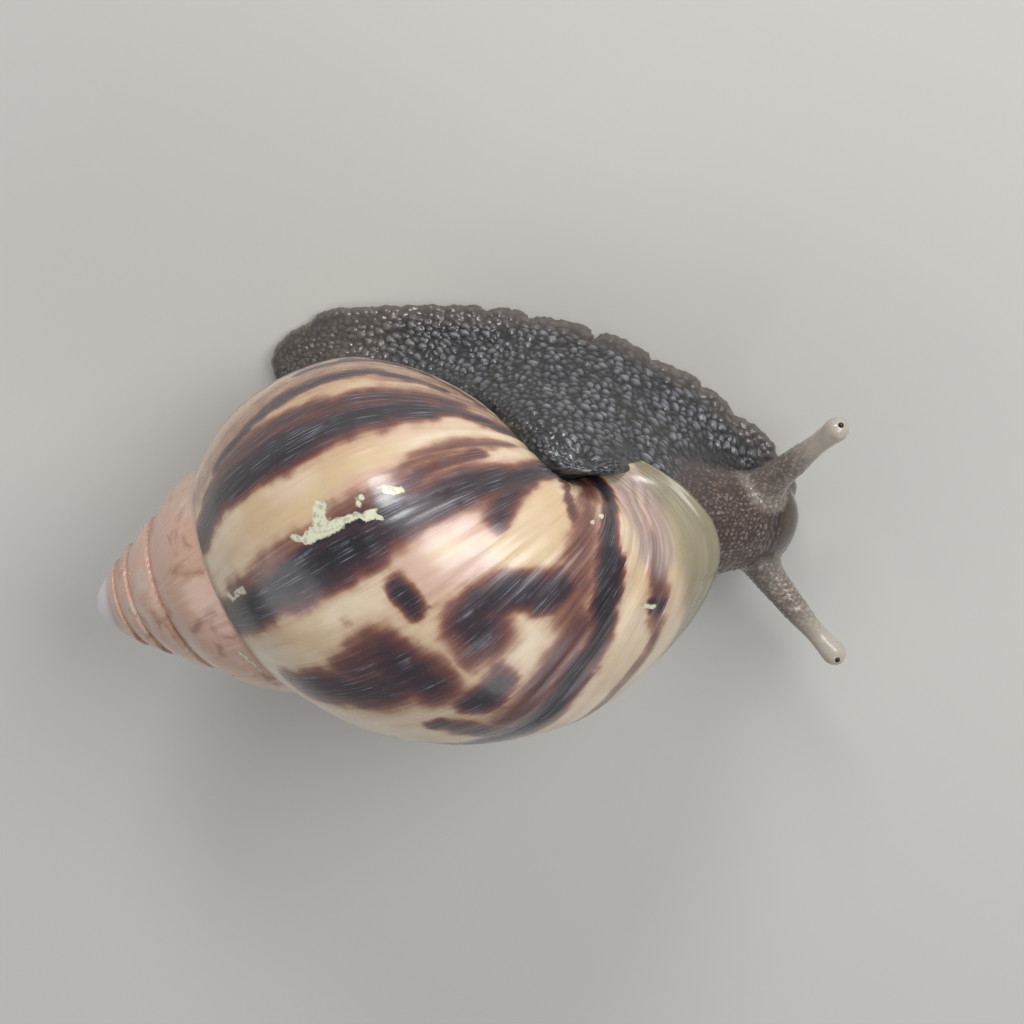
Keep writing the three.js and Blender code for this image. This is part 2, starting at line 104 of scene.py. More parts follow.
# Points closer than this are one: in the shell's millimetres, and in a CAD node's metres.
MERGE = 0.002
NODE_MERGE = 0.00001

STEPS_PER_WHORL = 240
SUTURE_LAG = 8
STRIP_COLUMNS = 32
PARIETAL_COLUMNS = 72
APEX_SHARES = (0.08, 0.18, 0.3, 0.42, 0.54, 0.66, 0.78, 0.9, 1.0)
# The mouth's wall from the rim inwards: [distance in from the outside, turn back into the whorl].
MOUTH_WALL = ((0.12, -0.004), (0.34, -0.005), (0.5, 0.0), (0.75, 0.05), (1.1, 0.16), (1.3, 0.3))

# ---- Markings of the last whorl: depth of pigment, half width, line of [degrees back, share] ----
# A stroke with no depth is a full one. Widths are in millimetres.
MM_PER_DEGREE = 0.47
LIP_LENGTH = 71.6
MARKINGS = (
    (0.34, 5.2, ((-176, 0.05), (-181, 0.3), (-182, 0.5), (-177, 0.66), (-165, 0.75))),
    (0.72, 1.7, ((-163, 0.08), (-165, 0.2), (-165, 0.313), (-163, 0.45), (-163, 0.583), (-162, 0.68))),
    (0.92, 0.9, ((-170, 0.123), (-173, 0.21), (-177, 0.313), (-178, 0.427), (-180, 0.527), (-173, 0.653))),
    (0.85, 0.7, ((-192, 0.35), (-191, 0.417), (-194, 0.51), (-192, 0.61), (-185, 0.677), (-172, 0.743))),
    (0.35, 1.3, ((-169, 0.527), (-169, 0.607), (-169, 0.673), (-162, 0.733), (-155, 0.77))),
    (1, 2.6, ((-153, 0.02), (-157, 0.08), (-158, 0.16), (-157, 0.233), (-156, 0.377), (-155, 0.45))),
    (1, 2.1, ((-155, 0.45), (-155, 0.523), (-156, 0.6))),
    (0.85, 1.4, ((-156, 0.6), (-157, 0.67), (-154, 0.713), (-150, 0.763), (-149, 0.86), (-151, 1))),
    (0.5, 1.2, ((-170, 0.15), (-168, 0.313), (-165, 0.403), (-164, 0.503), (-165, 0.583))),
    (0.48, 1.5, ((-127, 0.077), (-128, 0.2), (-129, 0.297), (-129, 0.387))),
    (0.48, 1.4, ((-129, 0.387), (-130, 0.467), (-133, 0.533), (-137, 0.61), (-139, 0.687), (-136, 0.753))),
    (0.65, 1.1, ((-127, 0.397), (-128, 0.47), (-129, 0.55), (-132, 0.62), (-133, 0.687))),
    (1, 2.9, ((-117, 0.013), (-119, 0.11), (-120, 0.163), (-120, 0.287), (-120, 0.42))),
    (0.92, 2.6, ((-120, 0.42), (-121, 0.477), (-121, 0.553), (-120, 0.627))),
    (1.1, 0.5, ((-117.5, 0.02), (-122, 0.167), (-123, 0.24), (-124.5, 0.303), (-125.5, 0.38), (-126, 0.5))),
    (0.95, 3.1, ((-121, 0.63), (-119, 0.693), (-117, 0.75), (-120, 0.88), (-118, 1))),
    (0.8, 1.7, ((-114, 0.74), (-110, 0.687), (-107, 0.65))),
    (0.5, 3.4, ((-70, 1), (-90, 0.84), (-84, 0.79), (-78, 0.745), (-72, 0.705), (-66, 0.64))),
    (0.66, 0.8, ((-112, 0.86), (-104, 0.845), (-97, 0.8), (-89, 0.768))),
    (1, 1.8, ((-53, 1), (-66, 0.923), (-71, 0.85), (-70, 0.8), (-65, 0.75), (-58, 0.71), (-52, 0.667))),
    (0.95, 1, ((-67, 0.783), (-59, 0.75), (-54, 0.703), (-51, 0.667))),
    (1, 1.8, ((-52, 0.663), (-49, 0.61), (-48, 0.55), (-47, 0.497), (-45, 0.44))),
    (0.95, 1.7, ((-45, 0.44), (-43, 0.3), (-47, 0.15), (-44, 0))),
    (0.6, 2.2, ((-61, 0.64), (-60, 0.597), (-57, 0.543), (-55, 0.48), (-54, 0.417))),
    (0.8, 1.5, ((-59, 0.347), (-51, 0.373), (-44, 0.403))),
    (0.92, 2.1, ((-75, 0.667), (-81, 0.617), (-88, 0.577), (-90, 0.54))),
    (0.9, 3.5, ((-88, 0.56), (-88, 0.527), (-86, 0.5), (-81, 0.505))),
    (0.95, 1.6, ((-68, 0.483), (-67, 0.453), (-66, 0.417))),
    (0.86, 3.7, ((-89, 0.35), (-84, 0.365), (-78, 0.38))),
    (0.84, 3, ((-88, 0.12), (-86, 0.2), (-82, 0.28), (-82, 0.34))),
    (0.72, 3, ((-90, 0.27), (-93, 0.35))),
    (0.95, 1.1, ((-106, 0.437), (-102, 0.443), (-99, 0.443))),
    (0.75, 0.9, ((-64, 0.313), (-63, 0.337), (-60, 0.347))),
    (0.3, 0.5, ((-103, 0.313), (-102, 0.323))),
    (0.3, 0.5, ((-98, 0.45), (-97, 0.487), (-96, 0.513))),
    (0.22, 0.3, ((-100, 0.47), (-100, 0.5), (-98, 0.53), (-94, 0.56))),
    (0.58, 1.4, ((-44, 0.823), (-41, 0.793), (-37, 0.765), (-34, 0.743), (-32, 0.73))),
    (0.5, 0.3, ((-23, 0.963), (-36, 0.897), (-40, 0.847), (-40, 0.803))),
    (0.42, 0.3, ((-30, 0.965), (-43, 0.905), (-46, 0.85))),
    (1, 0.7, ((-35, 0.727), (-31, 0.717))),
    (0.5, 1.2, ((-31, 0.7), (-27, 0.677), (-24, 0.63), (-25, 0.59), (-24, 0.44), (-22, 0.3), (-26, 0.1))),
    (0.45, 0.3, ((-44, 0.94), (-48, 0.897), (-48, 0.86), (-47, 0.83))),
    (0.4, 0.3, ((-23, 0.947), (-25, 0.923), (-24, 0.903))),
    (0.42, 1, ((-468, 0.117), (-470, 0.203), (-472, 0.247))),
    (0.38, 0.8, ((-499, 0.147), (-494, 0.203), (-490, 0.263))),
    (0.35, 0.5, ((-522, 0.217), (-524, 0.23))),
    (0.3, 0.5, ((-818, 0.243), (-832, 0.23), (-844, 0.217), (-860, 0.237))),
)
CLEARINGS = (
    (1.2, ((-55, 0.763), (-47, 0.733), (-42, 0.687), (-41, 0.627), (-37, 0.557), (-34, 0.483))),
    (1.6, ((-107, 0.777), (-99, 0.71), (-96, 0.65))),
)
ROSE = (
    (2.6, ((-116, 0.62), (-110, 0.667), (-110, 0.603), (-115, 0.553), (-115, 0.513))),
    (2.2, ((-57, 0.903), (-49, 0.86), (-45, 0.823), (-34, 0.887))),
    (1.8, ((-131, 0.417), (-132, 0.48), (-133, 0.56), (-130, 0.577), (-128, 0.653), (-124, 0.73))),
    (1.6, ((-110, 0.473), (-103, 0.49), (-101, 0.533), (-99, 0.58))),
    (2, ((-78, 0.8), (-70, 0.74))),
)
# Streaky violet-brown shell just behind the clear part.
MAUVE = (
    (3, ((-33, 0.99), (-48, 0.907), (-50, 0.86), (-47, 0.823))),
    (3.2, ((-23, 0.98), (-30, 0.91), (-34, 0.867), (-36, 0.815))),
)
CHIPS = (
    (1.2, ((-133.2, 0.358), (-131, 0.35))),
    (1.15, ((-128.5, 0.322), (-127.8, 0.345))),
    (0.8, ((-127.4, 0.345), (-127, 0.38))),
    (0.5, ((-126.9, 0.38), (-126.7, 0.425))),
    (0.25, ((-126.7, 0.425), (-126.5, 0.455))),
    (0.4, ((-129.5, 0.3), (-130.5, 0.288))),
    (0.3, ((-129.5, 0.433), (-130.5, 0.443))),
    (0.6, ((-130, 0.487), (-129, 0.503), (-128, 0.513))),
    (0.45, ((-127, 0.05), (-124, 0.06), (-126, 0.1), (-126, 0.12))),
    (0.12, ((-125, 0.433), (-126, 0.453), (-124, 0.46))),
    (0.28, ((-81, 0.8), (-80, 0.803))),
    (0.24, ((-77, 0.827), (-76, 0.829))),
    (0.22, ((-34, 0.72), (-39, 0.713))),
    (0.3, ((-450, 0.267), (-445, 0.267))),
    (0.12, ((-445, 0.272), (-430, 0.283))),
)
# The clear new shell behind the lip: [share along the growth line, degrees back to its edge].
FILM_EDGE = (
    (0, 5), (0.5, 7), (0.573, 8), (0.627, 10), (0.69, 15), (0.747, 23), (0.79, 30),
    (0.823, 32), (0.867, 31), (0.907, 29), (0.95, 24), (0.973, 18), (1, 10),
)
# Waver of the markings' edges: [size, reach, channels of the noise], in millimetres.
MARK_SWAY = ((4.5, 0.7, (1, 2)), (1.6, 0.38, (3, 4)), (0.7, 0.16, (5, 6)))
PIGMENT_SOFTNESS = 3.5
VEIL_REACH = 2.2
VEIL_SOFTNESS = 4.0
VEIL_DEPTH = 0.24
# Degrees back over which the pigment fades, and heights over which the tip is worn.
OLD_FROM = (-290, -400)
WORN_TIP = (9.2, 7.2)
HIDDEN_FLAMES = {"first": -206.0, "last": -560.0, "step": 17.0, "seed": 5}

# ---- The flesh, in millimetres, in the snail's frame ----
FOOT_REAR = -34.0
FOOT_FRONT = 32.4
FOOT_MIDDLE_Y = 3.0
FOOT_HALF_WIDTH = 16.1
FOOT_TAPER = (1.5, 2.0)
# Notches in the left edge of the foot: [place along the snail, depth].
NOTCHES = (
    (-26.5, 0.2), (-20.8, 0.25), (-10.6, 0.45), (-5.2, 0.4), (3.0, 0.95), (10.5, 0.45), (17.4, 0.55),
    (22.5, 0.35), (28.4, 0.3),
)
# Middle line of neck and head, and half their width there: [x, y, z, half width].
NECK_LINE = (
    (10, 4.6, 19, 8.4), (16, 5.2, 16.6, 7.8), (21, 5.6, 13.8, 6.8), (24.5, 5.7, 11.4, 6.2),
    (27.6, 5.4, 9.3, 6), (29.7, 4.9, 7.7, 5.3), (31.1, 4.6, 6.5, 3.8), (31.8, 4.5, 5.8, 1.7),
)
TENTACLES = {
    "left": ((26.6, 9.0, 10), (27.9, 12.4, 11.2), (30.2, 17.9, 12.8), (32.8, 23.4, 14)),
    "right": ((28.6, 2.6, 9.6), (31.2, 0.2, 10.6), (36.6, -3.3, 12), (42.5, -6.8, 13)),
}
# Tubercles: [width, length, jitter of the seeds, channel of the noise]. Beads: size each way.
TUBERCLE_SIZES = ((0.92, 1.3, 0.85, 40), (0.55, 0.85, 0.7, 50))
BEAD_SIZE = (0.62, 0.48, 0.48)
# Faces lower than the sole's top, under the frill or hidden by the shell aren't split.
SOLE_TOP = 0.25
FRILL_TOP = 2.0
UNDERSIDE_SLOPE = -0.6
HIDDEN_BY_SHELL = 1.2
BATCH = 20000
# The flap of flesh beside the lip: way it hangs, where it starts along that, share of its overhang kept.
FLAP_WAY = (0.30, -0.81, 0.505)
FLAP_START = 1.6
FLAP_KEPT = 0.56

# ---- The stage, in metres ----
FLOOR_SIZE = 6
FLOOR_DROP = 0.0001
CAMERA_PLACE = (-0.000202, 0.170984, 0.288768)
CAMERA_RIGHT = (0.9537, 0.2550, -0.1593)
CAMERA_DOWN = (0.3007, -0.8088, 0.5054)


# ---- Small tools ---------------------------------------------------------------------------------
def colour(code):
    """A sRGB hex colour as linear red, green, blue and a full alpha."""
    shares = [int(code[place:place + 2], 16) / 255 for place in (1, 3, 5)]
    linear = [share / 12.92 if share <= 0.04045 else ((share + 0.055) / 1.055) ** 2.4 for share in shares]
    return (*linear, 1.0)


def paint(name, code, description):
    """A colour that a user may change."""
    return FloatVectorProperty(
        name=name, description=description, default=colour(code), subtype="COLOR", size=4, min=0, max=1
    )


def size(name, default, description, unit="LENGTH"):
    """A number that a user may change."""
    return FloatProperty(name=name, description=description, default=default, min=0, unit=unit, precision=5)


def only(piece):
    """Makes one piece the selected and active one."""
    if bpy.context.mode != "OBJECT":
        bpy.ops.object.mode_set(mode="OBJECT")
    bpy.ops.object.select_all(action="DESELECT")
    piece.select_set(True)
    bpy.context.view_layer.objects.active = piece


def read(items, name, width=3):
    """A property of all of a mesh's points, faces or corners, as rows of numbers."""
    flat = np.empty(len(items) * width, np.float32)
    items.foreach_get(name, flat)
    return flat.reshape(-1, width).astype(float)


def points_of(piece):
    return read(piece.data.vertices, "co")


def move_points(piece, points):
    piece.data.vertices.foreach_set("co", np.asarray(points, np.float32).ravel())
    piece.data.update()


def picked(piece):
    """Numbers of the selected points."""
    flags = np.empty(len(piece.data.vertices), bool)
    piece.data.vertices.foreach_get("select", flags)
    return np.flatnonzero(flags)


def pick_faces(piece, flags):
    """Selects exactly the faces flagged, and leaves the piece in edit mode."""
    only(piece)
    bpy.ops.object.mode_set(mode="EDIT")
    bpy.ops.mesh.select_mode(type="FACE")
    bpy.ops.mesh.select_all(action="DESELECT")
    bpy.ops.object.mode_set(mode="OBJECT")
    piece.data.polygons.foreach_set("select", flags)
    bpy.ops.object.mode_set(mode="EDIT")


def use_modifier(piece, kind, **settings):
    """Adds a modifier, sets it and applies it."""
    modifier = piece.modifiers.new(kind.title(), kind)
    for name, value in settings.items():
        setattr(modifier, name, value)
    only(piece)
    bpy.ops.object.modifier_apply(modifier=modifier.name)


def store(piece, name, values, domain="POINT"):
    """Keeps a number for each point or face corner, for the materials to read."""
    attribute = piece.data.attributes.new(name, "FLOAT", domain)
    attribute.data.foreach_set("value", np.asarray(values, np.float32))


def ease(values, low, high):
    """0 up to low, 1 from high, smooth between. Low may be the greater."""
    share = np.clip((np.asarray(values, float) - low) / (high - low), 0, 1)
    return share * share * (3 - 2 * share)


def scatter(cells, channel):
    """A seeded number from 0 to 1 for each whole-numbered cell."""
    mixed = cells[..., 0] * 73856093 ^ cells[..., 1] * 19349663 ^ cells[..., 2] * 83492791
    mixed = mixed ^ channel * 26544357
    mixed = (mixed ^ (mixed >> 13)) * 1274126177 & 0x7FFFFFFF
    mixed = (mixed ^ (mixed >> 15)) * 668265263 & 0x7FFFFFFF
    return ((mixed ^ (mixed >> 12)) & 0xFFFFF) / 0xFFFFF


def drift(points, size, channel):
    """Smooth seeded noise from -1 to 1 with features of about a size."""
    places = points / size
    base = np.floor(places).astype(np.int64)
    share = places - base
    share = share * share * (3 - 2 * share)
    total = np.zeros(len(points))
    for corner in itertools.product((0, 1), repeat=3):
        weight = np.prod(np.where(corner, share, 1 - share), axis=1)
        total += weight * scatter(base + np.array(corner), channel)
    return 2 * total - 1


def drifts(points, size, channels):
    """One seeded noise for each channel, side by side."""
    return np.stack([drift(points, size, channel) for channel in channels], axis=1)


def cells(places, jitter, channel):
    """Each place's distance from the wall between its nearest two seeds and from the seed, and its number."""
    base = np.floor(places).astype(np.int64)
    nearest = np.full(len(places), 9.0)
    second = np.full(len(places), 9.0)
    number = np.zeros(len(places))
    for step in itertools.product((-1, 0, 1), repeat=3):
        cell = base + np.array(step)
        shift = np.stack([scatter(cell, channel + axis) for axis in range(3)], axis=1)
        gap = np.linalg.norm(places - (cell + 0.5 + jitter * (shift - 0.5)), axis=1)
        closer = gap < nearest
        second = np.where(closer, nearest, np.minimum(second, gap))
        number = np.where(closer, scatter(cell, channel + 7), number)
        nearest = np.where(closer, gap, nearest)
    return second - nearest, nearest, number


def from_line(places, line):
    """Distance from each place to a line of points, and the share of the way along it."""
    line = np.asarray(line, float)
    lengths = np.linalg.norm(np.diff(line, axis=0), axis=1)
    starts = np.concatenate(([0], np.cumsum(lengths)))
    best = np.full(len(places), np.inf)
    share = np.zeros(len(places))
    for begin, end, start, length in zip(line[:-1], line[1:], starts, lengths):
        way = (end - begin) / length
        along = np.clip((places - begin) @ way, 0, length)
        gap = np.linalg.norm(places - begin - along[:, None] * way, axis=1)
        share = np.where(gap < best, (start + along) / starts[-1], share)
        best = np.minimum(best, gap)
    return best, share


def add_node(tree, kind, settings=(), sockets=(), output=0):
    """Adds a node, sets it, fills its sockets from values or other nodes' outputs, and gives one output."""
    node = tree.nodes.new("ShaderNode" + kind)
    for name, value in dict(settings).items():
        if name != "stops":
            setattr(node, name, value)
            continue
        for place, (position, shade) in enumerate(value):
            elements = node.color_ramp.elements
            element = elements[place] if place < 2 else elements.new(position)
            element.position = position
            element.color = shade
    for socket, source in dict(sockets).items():
        if isinstance(source, bpy.types.NodeSocket):
            tree.links.new(source, node.inputs[socket])
        else:
            node.inputs[socket].default_value = source
    return node.outputs[output] if node.outputs else None


def layered(tree, ground, layers):
    """Lays colours over a ground one after another, each as far as its share says."""
    for share, over in layers:
        ground = add_node(tree, "Mix", {"data_type": "RGBA"}, {"Factor": share, 6: ground, 7: over}, 2)
    return ground


def stored(tree, names):
    """The outputs that read what a piece keeps under some names."""
    return {name: add_node(tree, "Attribute", {"attribute_name": name}, (), "Fac") for name in names.split()}


def jogged(tree, value, noises):
    """A value moved up and down by noises, each as far as its depth says."""
    for noise, depth in noises:
        centred = add_node(tree, "Math", {"operation": "SUBTRACT"}, {0: noise, 1: 0.5})
        value = add_node(tree, "Math", {"operation": "MULTIPLY_ADD"}, {0: centred, 1: depth, 2: value})
    return value


def new_material(name, sockets_of, settings):
    """A material whose main shader is filled with what a function of its tree and the settings gives."""
    material = bpy.data.materials.new(name)
    material.use_nodes = True
    tree = material.node_tree
    tree.nodes.clear()
    shader = add_node(tree, "BsdfPrincipled", {}, sockets_of(tree, settings))
    add_node(tree, "OutputMaterial", {}, {"Surface": shader})
    return material


def dress(piece, name, slot, *nodes):
    """Names a finished piece and gives it its place in the frame."""
    piece.name = name
    piece.data.name = name
    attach(piece, "root")
    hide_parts(*nodes)


# ---- Shell ---------------------------------------------------------------------------------------
def lip_curve():
    """The growth line at the lip as even small steps: shares of its length and [radius, height]."""
    line = np.array(LIP_LINE)
    last = len(line) - 1
    steps = np.linspace(0, last, 1601)
    start = np.minimum(steps.astype(int), last)
    share = (steps - start)[:, None]
    before, here = line[np.maximum(start - 1, 0)], line[start]
    after, beyond = line[np.minimum(start + 1, last)], line[np.minimum(start + 2, last)]
    slope_in, slope_out = (after - before) / 2, (beyond - here) / 2
    spots = (2 * here - 2 * after + slope_in + slope_out) * share**3
    spots += (3 * after - 3 * here - 2 * slope_in - slope_out) * share**2 + slope_in * share + here
    lengths = np.concatenate(([0], np.cumsum(np.linalg.norm(np.diff(spots, axis=0), axis=1))))
    return lengths / lengths[-1], spots


LIP_SHARES, LIP_SPOTS = lip_curve()


def growth(angle):
    """Size of the growth line at an angle back from the lip, as a share of the lip."""
    fading = (GROWTH_AT_LIP - GROWTH_AT_APEX) * GROWTH_FADE * (np.exp(angle / GROWTH_FADE) - 1)
    return np.exp(GROWTH_AT_APEX * angle + fading)


def growth_ridges(angle):
    """Rises and dips of the surface between growth lines, as shares of its size."""
    degree = np.degrees(angle)
    ripple = np.sin(degree * 0.83 + 1.7 * np.sin(degree * 0.21)) + 0.7 * np.sin(degree * 1.31 + 2.0)
    rough = np.exp(-(((degree + 60) / 9) ** 2))
    worn = 1 + 3.0 * ease(degree, -330, -460)
    groove = np.exp(-(((degree + 47) / 2.5) ** 2))
    return 0.0011 * worn * ripple + 0.0035 * rough * np.sin(degree * 1.9) - 0.004 * groove


def shell_point(angle, share):
    angle, share = np.broadcast_arrays(np.asarray(angle, float), np.asarray(share, float))
    size = growth(angle) * (1 + growth_ridges(angle) * ease(share, 0, 0.05) * ease(share, 1, 0.8))
    radius = np.interp(share, LIP_SHARES, LIP_SPOTS[:, 0]) * size
    height = np.interp(share, LIP_SHARES, LIP_SPOTS[:, 1]) * size
    turn = angle + share * (LIP_SLANT[0] + share * (LIP_SLANT[1] + share * LIP_SLANT[2]))
    return np.stack([radius * np.cos(turn), radius * np.sin(turn), height], axis=-1)


def suture_shares(angles, lag):
    """How far along each growth line the next whorl's suture lies."""
    trials = np.linspace(0, 0.6, 301)
    targets = shell_point(angles + TURN - lag, 0.0)
    misses = np.linalg.norm(shell_point(angles[:, None], trials[None, :]) - targets[:, None, :], axis=-1)
    raw = trials[misses.argmin(axis=1)]
    padded = np.pad(raw, 12, mode="edge")
    return np.convolve(padded, np.ones(25) / 25, mode="valid")


def shares_of(meeting, column):
    """How far along the growth line each column lies: one strip up to the suture and one beyond it."""
    beyond = meeting + (1 - meeting) * (column - STRIP_COLUMNS) / PARIETAL_COLUMNS
    return np.where(column <= STRIP_COLUMNS, meeting * column / STRIP_COLUMNS, beyond)


def roll_shell():
    """A grid rolled up on the snail's growing spiral. Returns it and the rim of its mouth."""
    rows = WHORLS * STEPS_PER_WHORL
    columns = STRIP_COLUMNS + PARIETAL_COLUMNS
    bpy.ops.object.select_all(action="DESELECT")
    bpy.ops.mesh.primitive_grid_add(x_subdivisions=columns, y_subdivisions=rows, size=1)
    shell = bpy.context.object
    flat = points_of(shell)
    column = np.rint((flat[:, 0] + 0.5) * columns).astype(int)
    row = np.rint((flat[:, 1] + 0.5) * rows).astype(int)
    whorl_rows = STEPS_PER_WHORL - SUTURE_LAG
    first_open = rows - whorl_rows
    centres = read(shell.data.polygons, "center")
    covered = (centres[:, 1] + 0.5) * rows < first_open
    covered &= (centres[:, 0] + 0.5) * columns > STRIP_COLUMNS

    step = TURN / STEPS_PER_WHORL
    angles = (np.arange(rows + 1) - rows) * step
    meeting = suture_shares(np.minimum(angles, angles[first_open]), SUTURE_LAG * step)
    share = shares_of(meeting[row], column)
    angle = angles[row]
    spots = shell_point(angle, share)
    meets = (column == STRIP_COLUMNS) & (row <= first_open)
    spots[meets] = shell_point(angles[np.minimum(row[meets] + whorl_rows, rows)], 0.0)
    move_points(shell, spots)

    corner_points = np.empty(len(shell.data.loops), np.int32)
    shell.data.loops.foreach_get("vertex_index", corner_points)
    shell.data.uv_layers[0].name = "growth_lines"
    lines = np.stack([angle[corner_points] / TURN, share[corner_points]], axis=1)
    shell.data.uv_layers[0].data.foreach_set("uv", lines.astype(np.float32).ravel())

    pick_faces(shell, covered)
    bpy.ops.mesh.delete(type="FACE")
    bpy.ops.mesh.select_mode(type="VERT")
    bpy.ops.mesh.select_all(action="SELECT")
    bpy.ops.mesh.remove_doubles(threshold=MERGE)
    bpy.ops.object.mode_set(mode="OBJECT")

    numbers = np.arange(columns + 1)
    lip = shell_point(angles[rows], shares_of(meeting[rows], numbers))
    axis_edge = shell_point(angles[rows - 1:first_open:-1], 1.0)
    wall = shell_point(angles[first_open], shares_of(meeting[first_open], numbers[:STRIP_COLUMNS:-1]))
    return shell, np.concatenate([lip, axis_edge, wall])


def pick_open_edge(shell, keep):
    """Selects the open edge whose points pass a test, and leaves the shell in edit mode."""
    only(shell)
    bpy.ops.object.mode_set(mode="EDIT")
    bpy.ops.mesh.select_mode(type="VERT")
    bpy.ops.mesh.select_all(action="DESELECT")
    bpy.ops.mesh.select_non_manifold()
    bpy.ops.object.mode_set(mode="OBJECT")
    chosen = picked(shell)
    chosen = chosen[keep(points_of(shell)[chosen])]
    flags = np.zeros(len(shell.data.vertices), bool)
    flags[chosen] = True
    shell.data.vertices.foreach_set("select", flags)
    shell.data.edges.foreach_set("select", np.zeros(len(shell.data.edges), bool))
    shell.data.polygons.foreach_set("select", np.zeros(len(shell.data.polygons), bool))
    bpy.ops.object.mode_set(mode="EDIT")


def extrude_rim(shell, now, following):
    """Extrudes the selected open edge and moves each new point from its place now to the following one."""
    bpy.ops.mesh.extrude_edges_move(TRANSFORM_OT_translate={"value": (0, 0, 0)})
    bpy.ops.object.mode_set(mode="OBJECT")
    points = points_of(shell)
    for index in picked(shell):
        place = np.argmin(((now - points[index]) ** 2).sum(axis=1))
        points[index] = following[place]
    move_points(shell, points)
    bpy.ops.object.mode_set(mode="EDIT")


def close_apex(shell):
    """Closes the start of the spiral with a blunt rounded tip."""
    pick_open_edge(shell, lambda spots: spots[:, 2] < MIDDLE_HEIGHT)
    bpy.ops.object.mode_set(mode="OBJECT")
    rim = points_of(shell)[picked(shell)]
    bpy.ops.object.mode_set(mode="EDIT")
    now = rim
    for share in APEX_SHARES:
        following = rim * (1 - share)
        following[:, 2] = rim[:, 2] + (APEX_HEIGHT - rim[:, 2]) * (1 - (1 - share) ** 2)
        extrude_rim(shell, now, following)
        now = following
    bpy.ops.mesh.select_all(action="SELECT")
    bpy.ops.mesh.remove_doubles(threshold=MERGE)
    bpy.ops.object.mode_set(mode="OBJECT")


def back_in_whorl(spots, angle):
    """The same places further back inside the whorl."""
    cos, sin = math.cos(-angle), math.sin(-angle)
    level, third, height = np.moveaxis(spots, -1, 0)
    turned = np.stack([level * cos - third * sin, level * sin + third * cos, height], axis=-1)
    return turned * growth(-angle)


def inside_of(rim, inset):
    """The rim moved in towards its middle until it is an inset away from every part of itself."""
    ends = np.roll(rim, -1, axis=0)
    ways = ends - rim
    lengths = np.linalg.norm(ways, axis=1)
    middle = ((rim + ends) / 2 * lengths[:, None]).sum(axis=0) / lengths.sum()
    units = ways / np.maximum(lengths, 1e-9)[:, None]
    near = np.zeros(len(rim))
    far = np.full(len(rim), 0.9)
    for _ in range(12):
        trial = (near + far) / 2
        spots = rim + (middle - rim) * trial[:, None]
        offset = spots[:, None, :] - rim[None, :, :]
        along = np.clip((offset * units).sum(axis=-1), 0, lengths)
        gaps = np.linalg.norm(offset - along[..., None] * units, axis=-1).min(axis=1)
        near = np.where(gaps < inset, trial, near)
        far = np.where(gaps < inset, far, trial)
    return rim + (middle - rim) * far[:, None], middle


def close_mouth(shell, rim):
    """Turns the thin lip in and carries the inside of the wall back behind the flesh."""
    pick_open_edge(shell, lambda spots: spots[:, 2] > MIDDLE_HEIGHT)
    now = rim
    for inset, turn in MOUTH_WALL:
        inner, middle = inside_of(rim, inset)
        following = back_in_whorl(inner, turn)
        extrude_rim(shell, now, following)
        now = following
    deepest = MOUTH_WALL[-1][1]
    hub = back_in_whorl(middle, deepest + 0.1)
    extrude_rim(shell, now, np.repeat(hub[None, :], len(now), axis=0))
    bpy.ops.mesh.select_all(action="SELECT")
    bpy.ops.mesh.remove_doubles(threshold=MERGE)
    bpy.ops.mesh.normals_make_consistent(inside=False)
    bpy.ops.object.mode_set(mode="OBJECT")


def hidden_flames():
    """Seeded flames for the far side of the last whorl, fading on the older ones."""
    dice = np.random.default_rng(HIDDEN_FLAMES["seed"])
    flames = []
    angle = HIDDEN_FLAMES["first"]
    while angle > HIDDEN_FLAMES["last"]:
        depth = dice.uniform(0.6, 1.0)
        width = dice.uniform(0.9, 2.4)
        shares = np.linspace(0.0, 1.0, 9)
        wander = np.cumsum(dice.normal(0, 2.2, len(shares)))
        line = tuple(zip(angle + wander, shares))
        cut = int(dice.integers(3, 7))
        flames.append((depth, width, line[:cut + 1]))
        flames.append((depth * dice.uniform(0.6, 1.0), width * dice.uniform(0.6, 1.3), line[cut:]))
        if dice.random() < 0.6:
            side = angle - dice.uniform(5, 9)
            share = dice.uniform(0.35, 0.8)
            blot = ((side, share), (side + 4, share + 0.06))
            flames.append((dice.uniform(0.5, 0.95), dice.uniform(1.0, 2.2), blot))
        angle -= HIDDEN_FLAMES["step"] * dice.uniform(0.75, 1.3)
    return flames


def painted(places, strokes, softness):
    """How deep a set of strokes lies over each place of the unrolled shell, from 0 to 1."""
    total = np.zeros(len(places))
    for stroke in strokes:
        depth, width, line = (1, *stroke)[-3:]
        flat = np.array(line, float) * (MM_PER_DEGREE, LIP_LENGTH)
        soft = min(softness, 0.4 + 1.3 * width)
        reach = width + 2 * soft
        low, high = flat.min(axis=0) - reach, flat.max(axis=0) + reach
        near = np.flatnonzero(((places > low) & (places < high)).all(axis=1))
        gap, _ = from_line(places[near], flat)
        total[near] = np.maximum(total[near], depth * ease(gap, width + soft, max(width - soft, 0)))
    return total


def widened(strokes, reach):
    """The same strokes, wider each side by a reach."""
    return [(depth, width + reach, line) for depth, width, line in strokes]


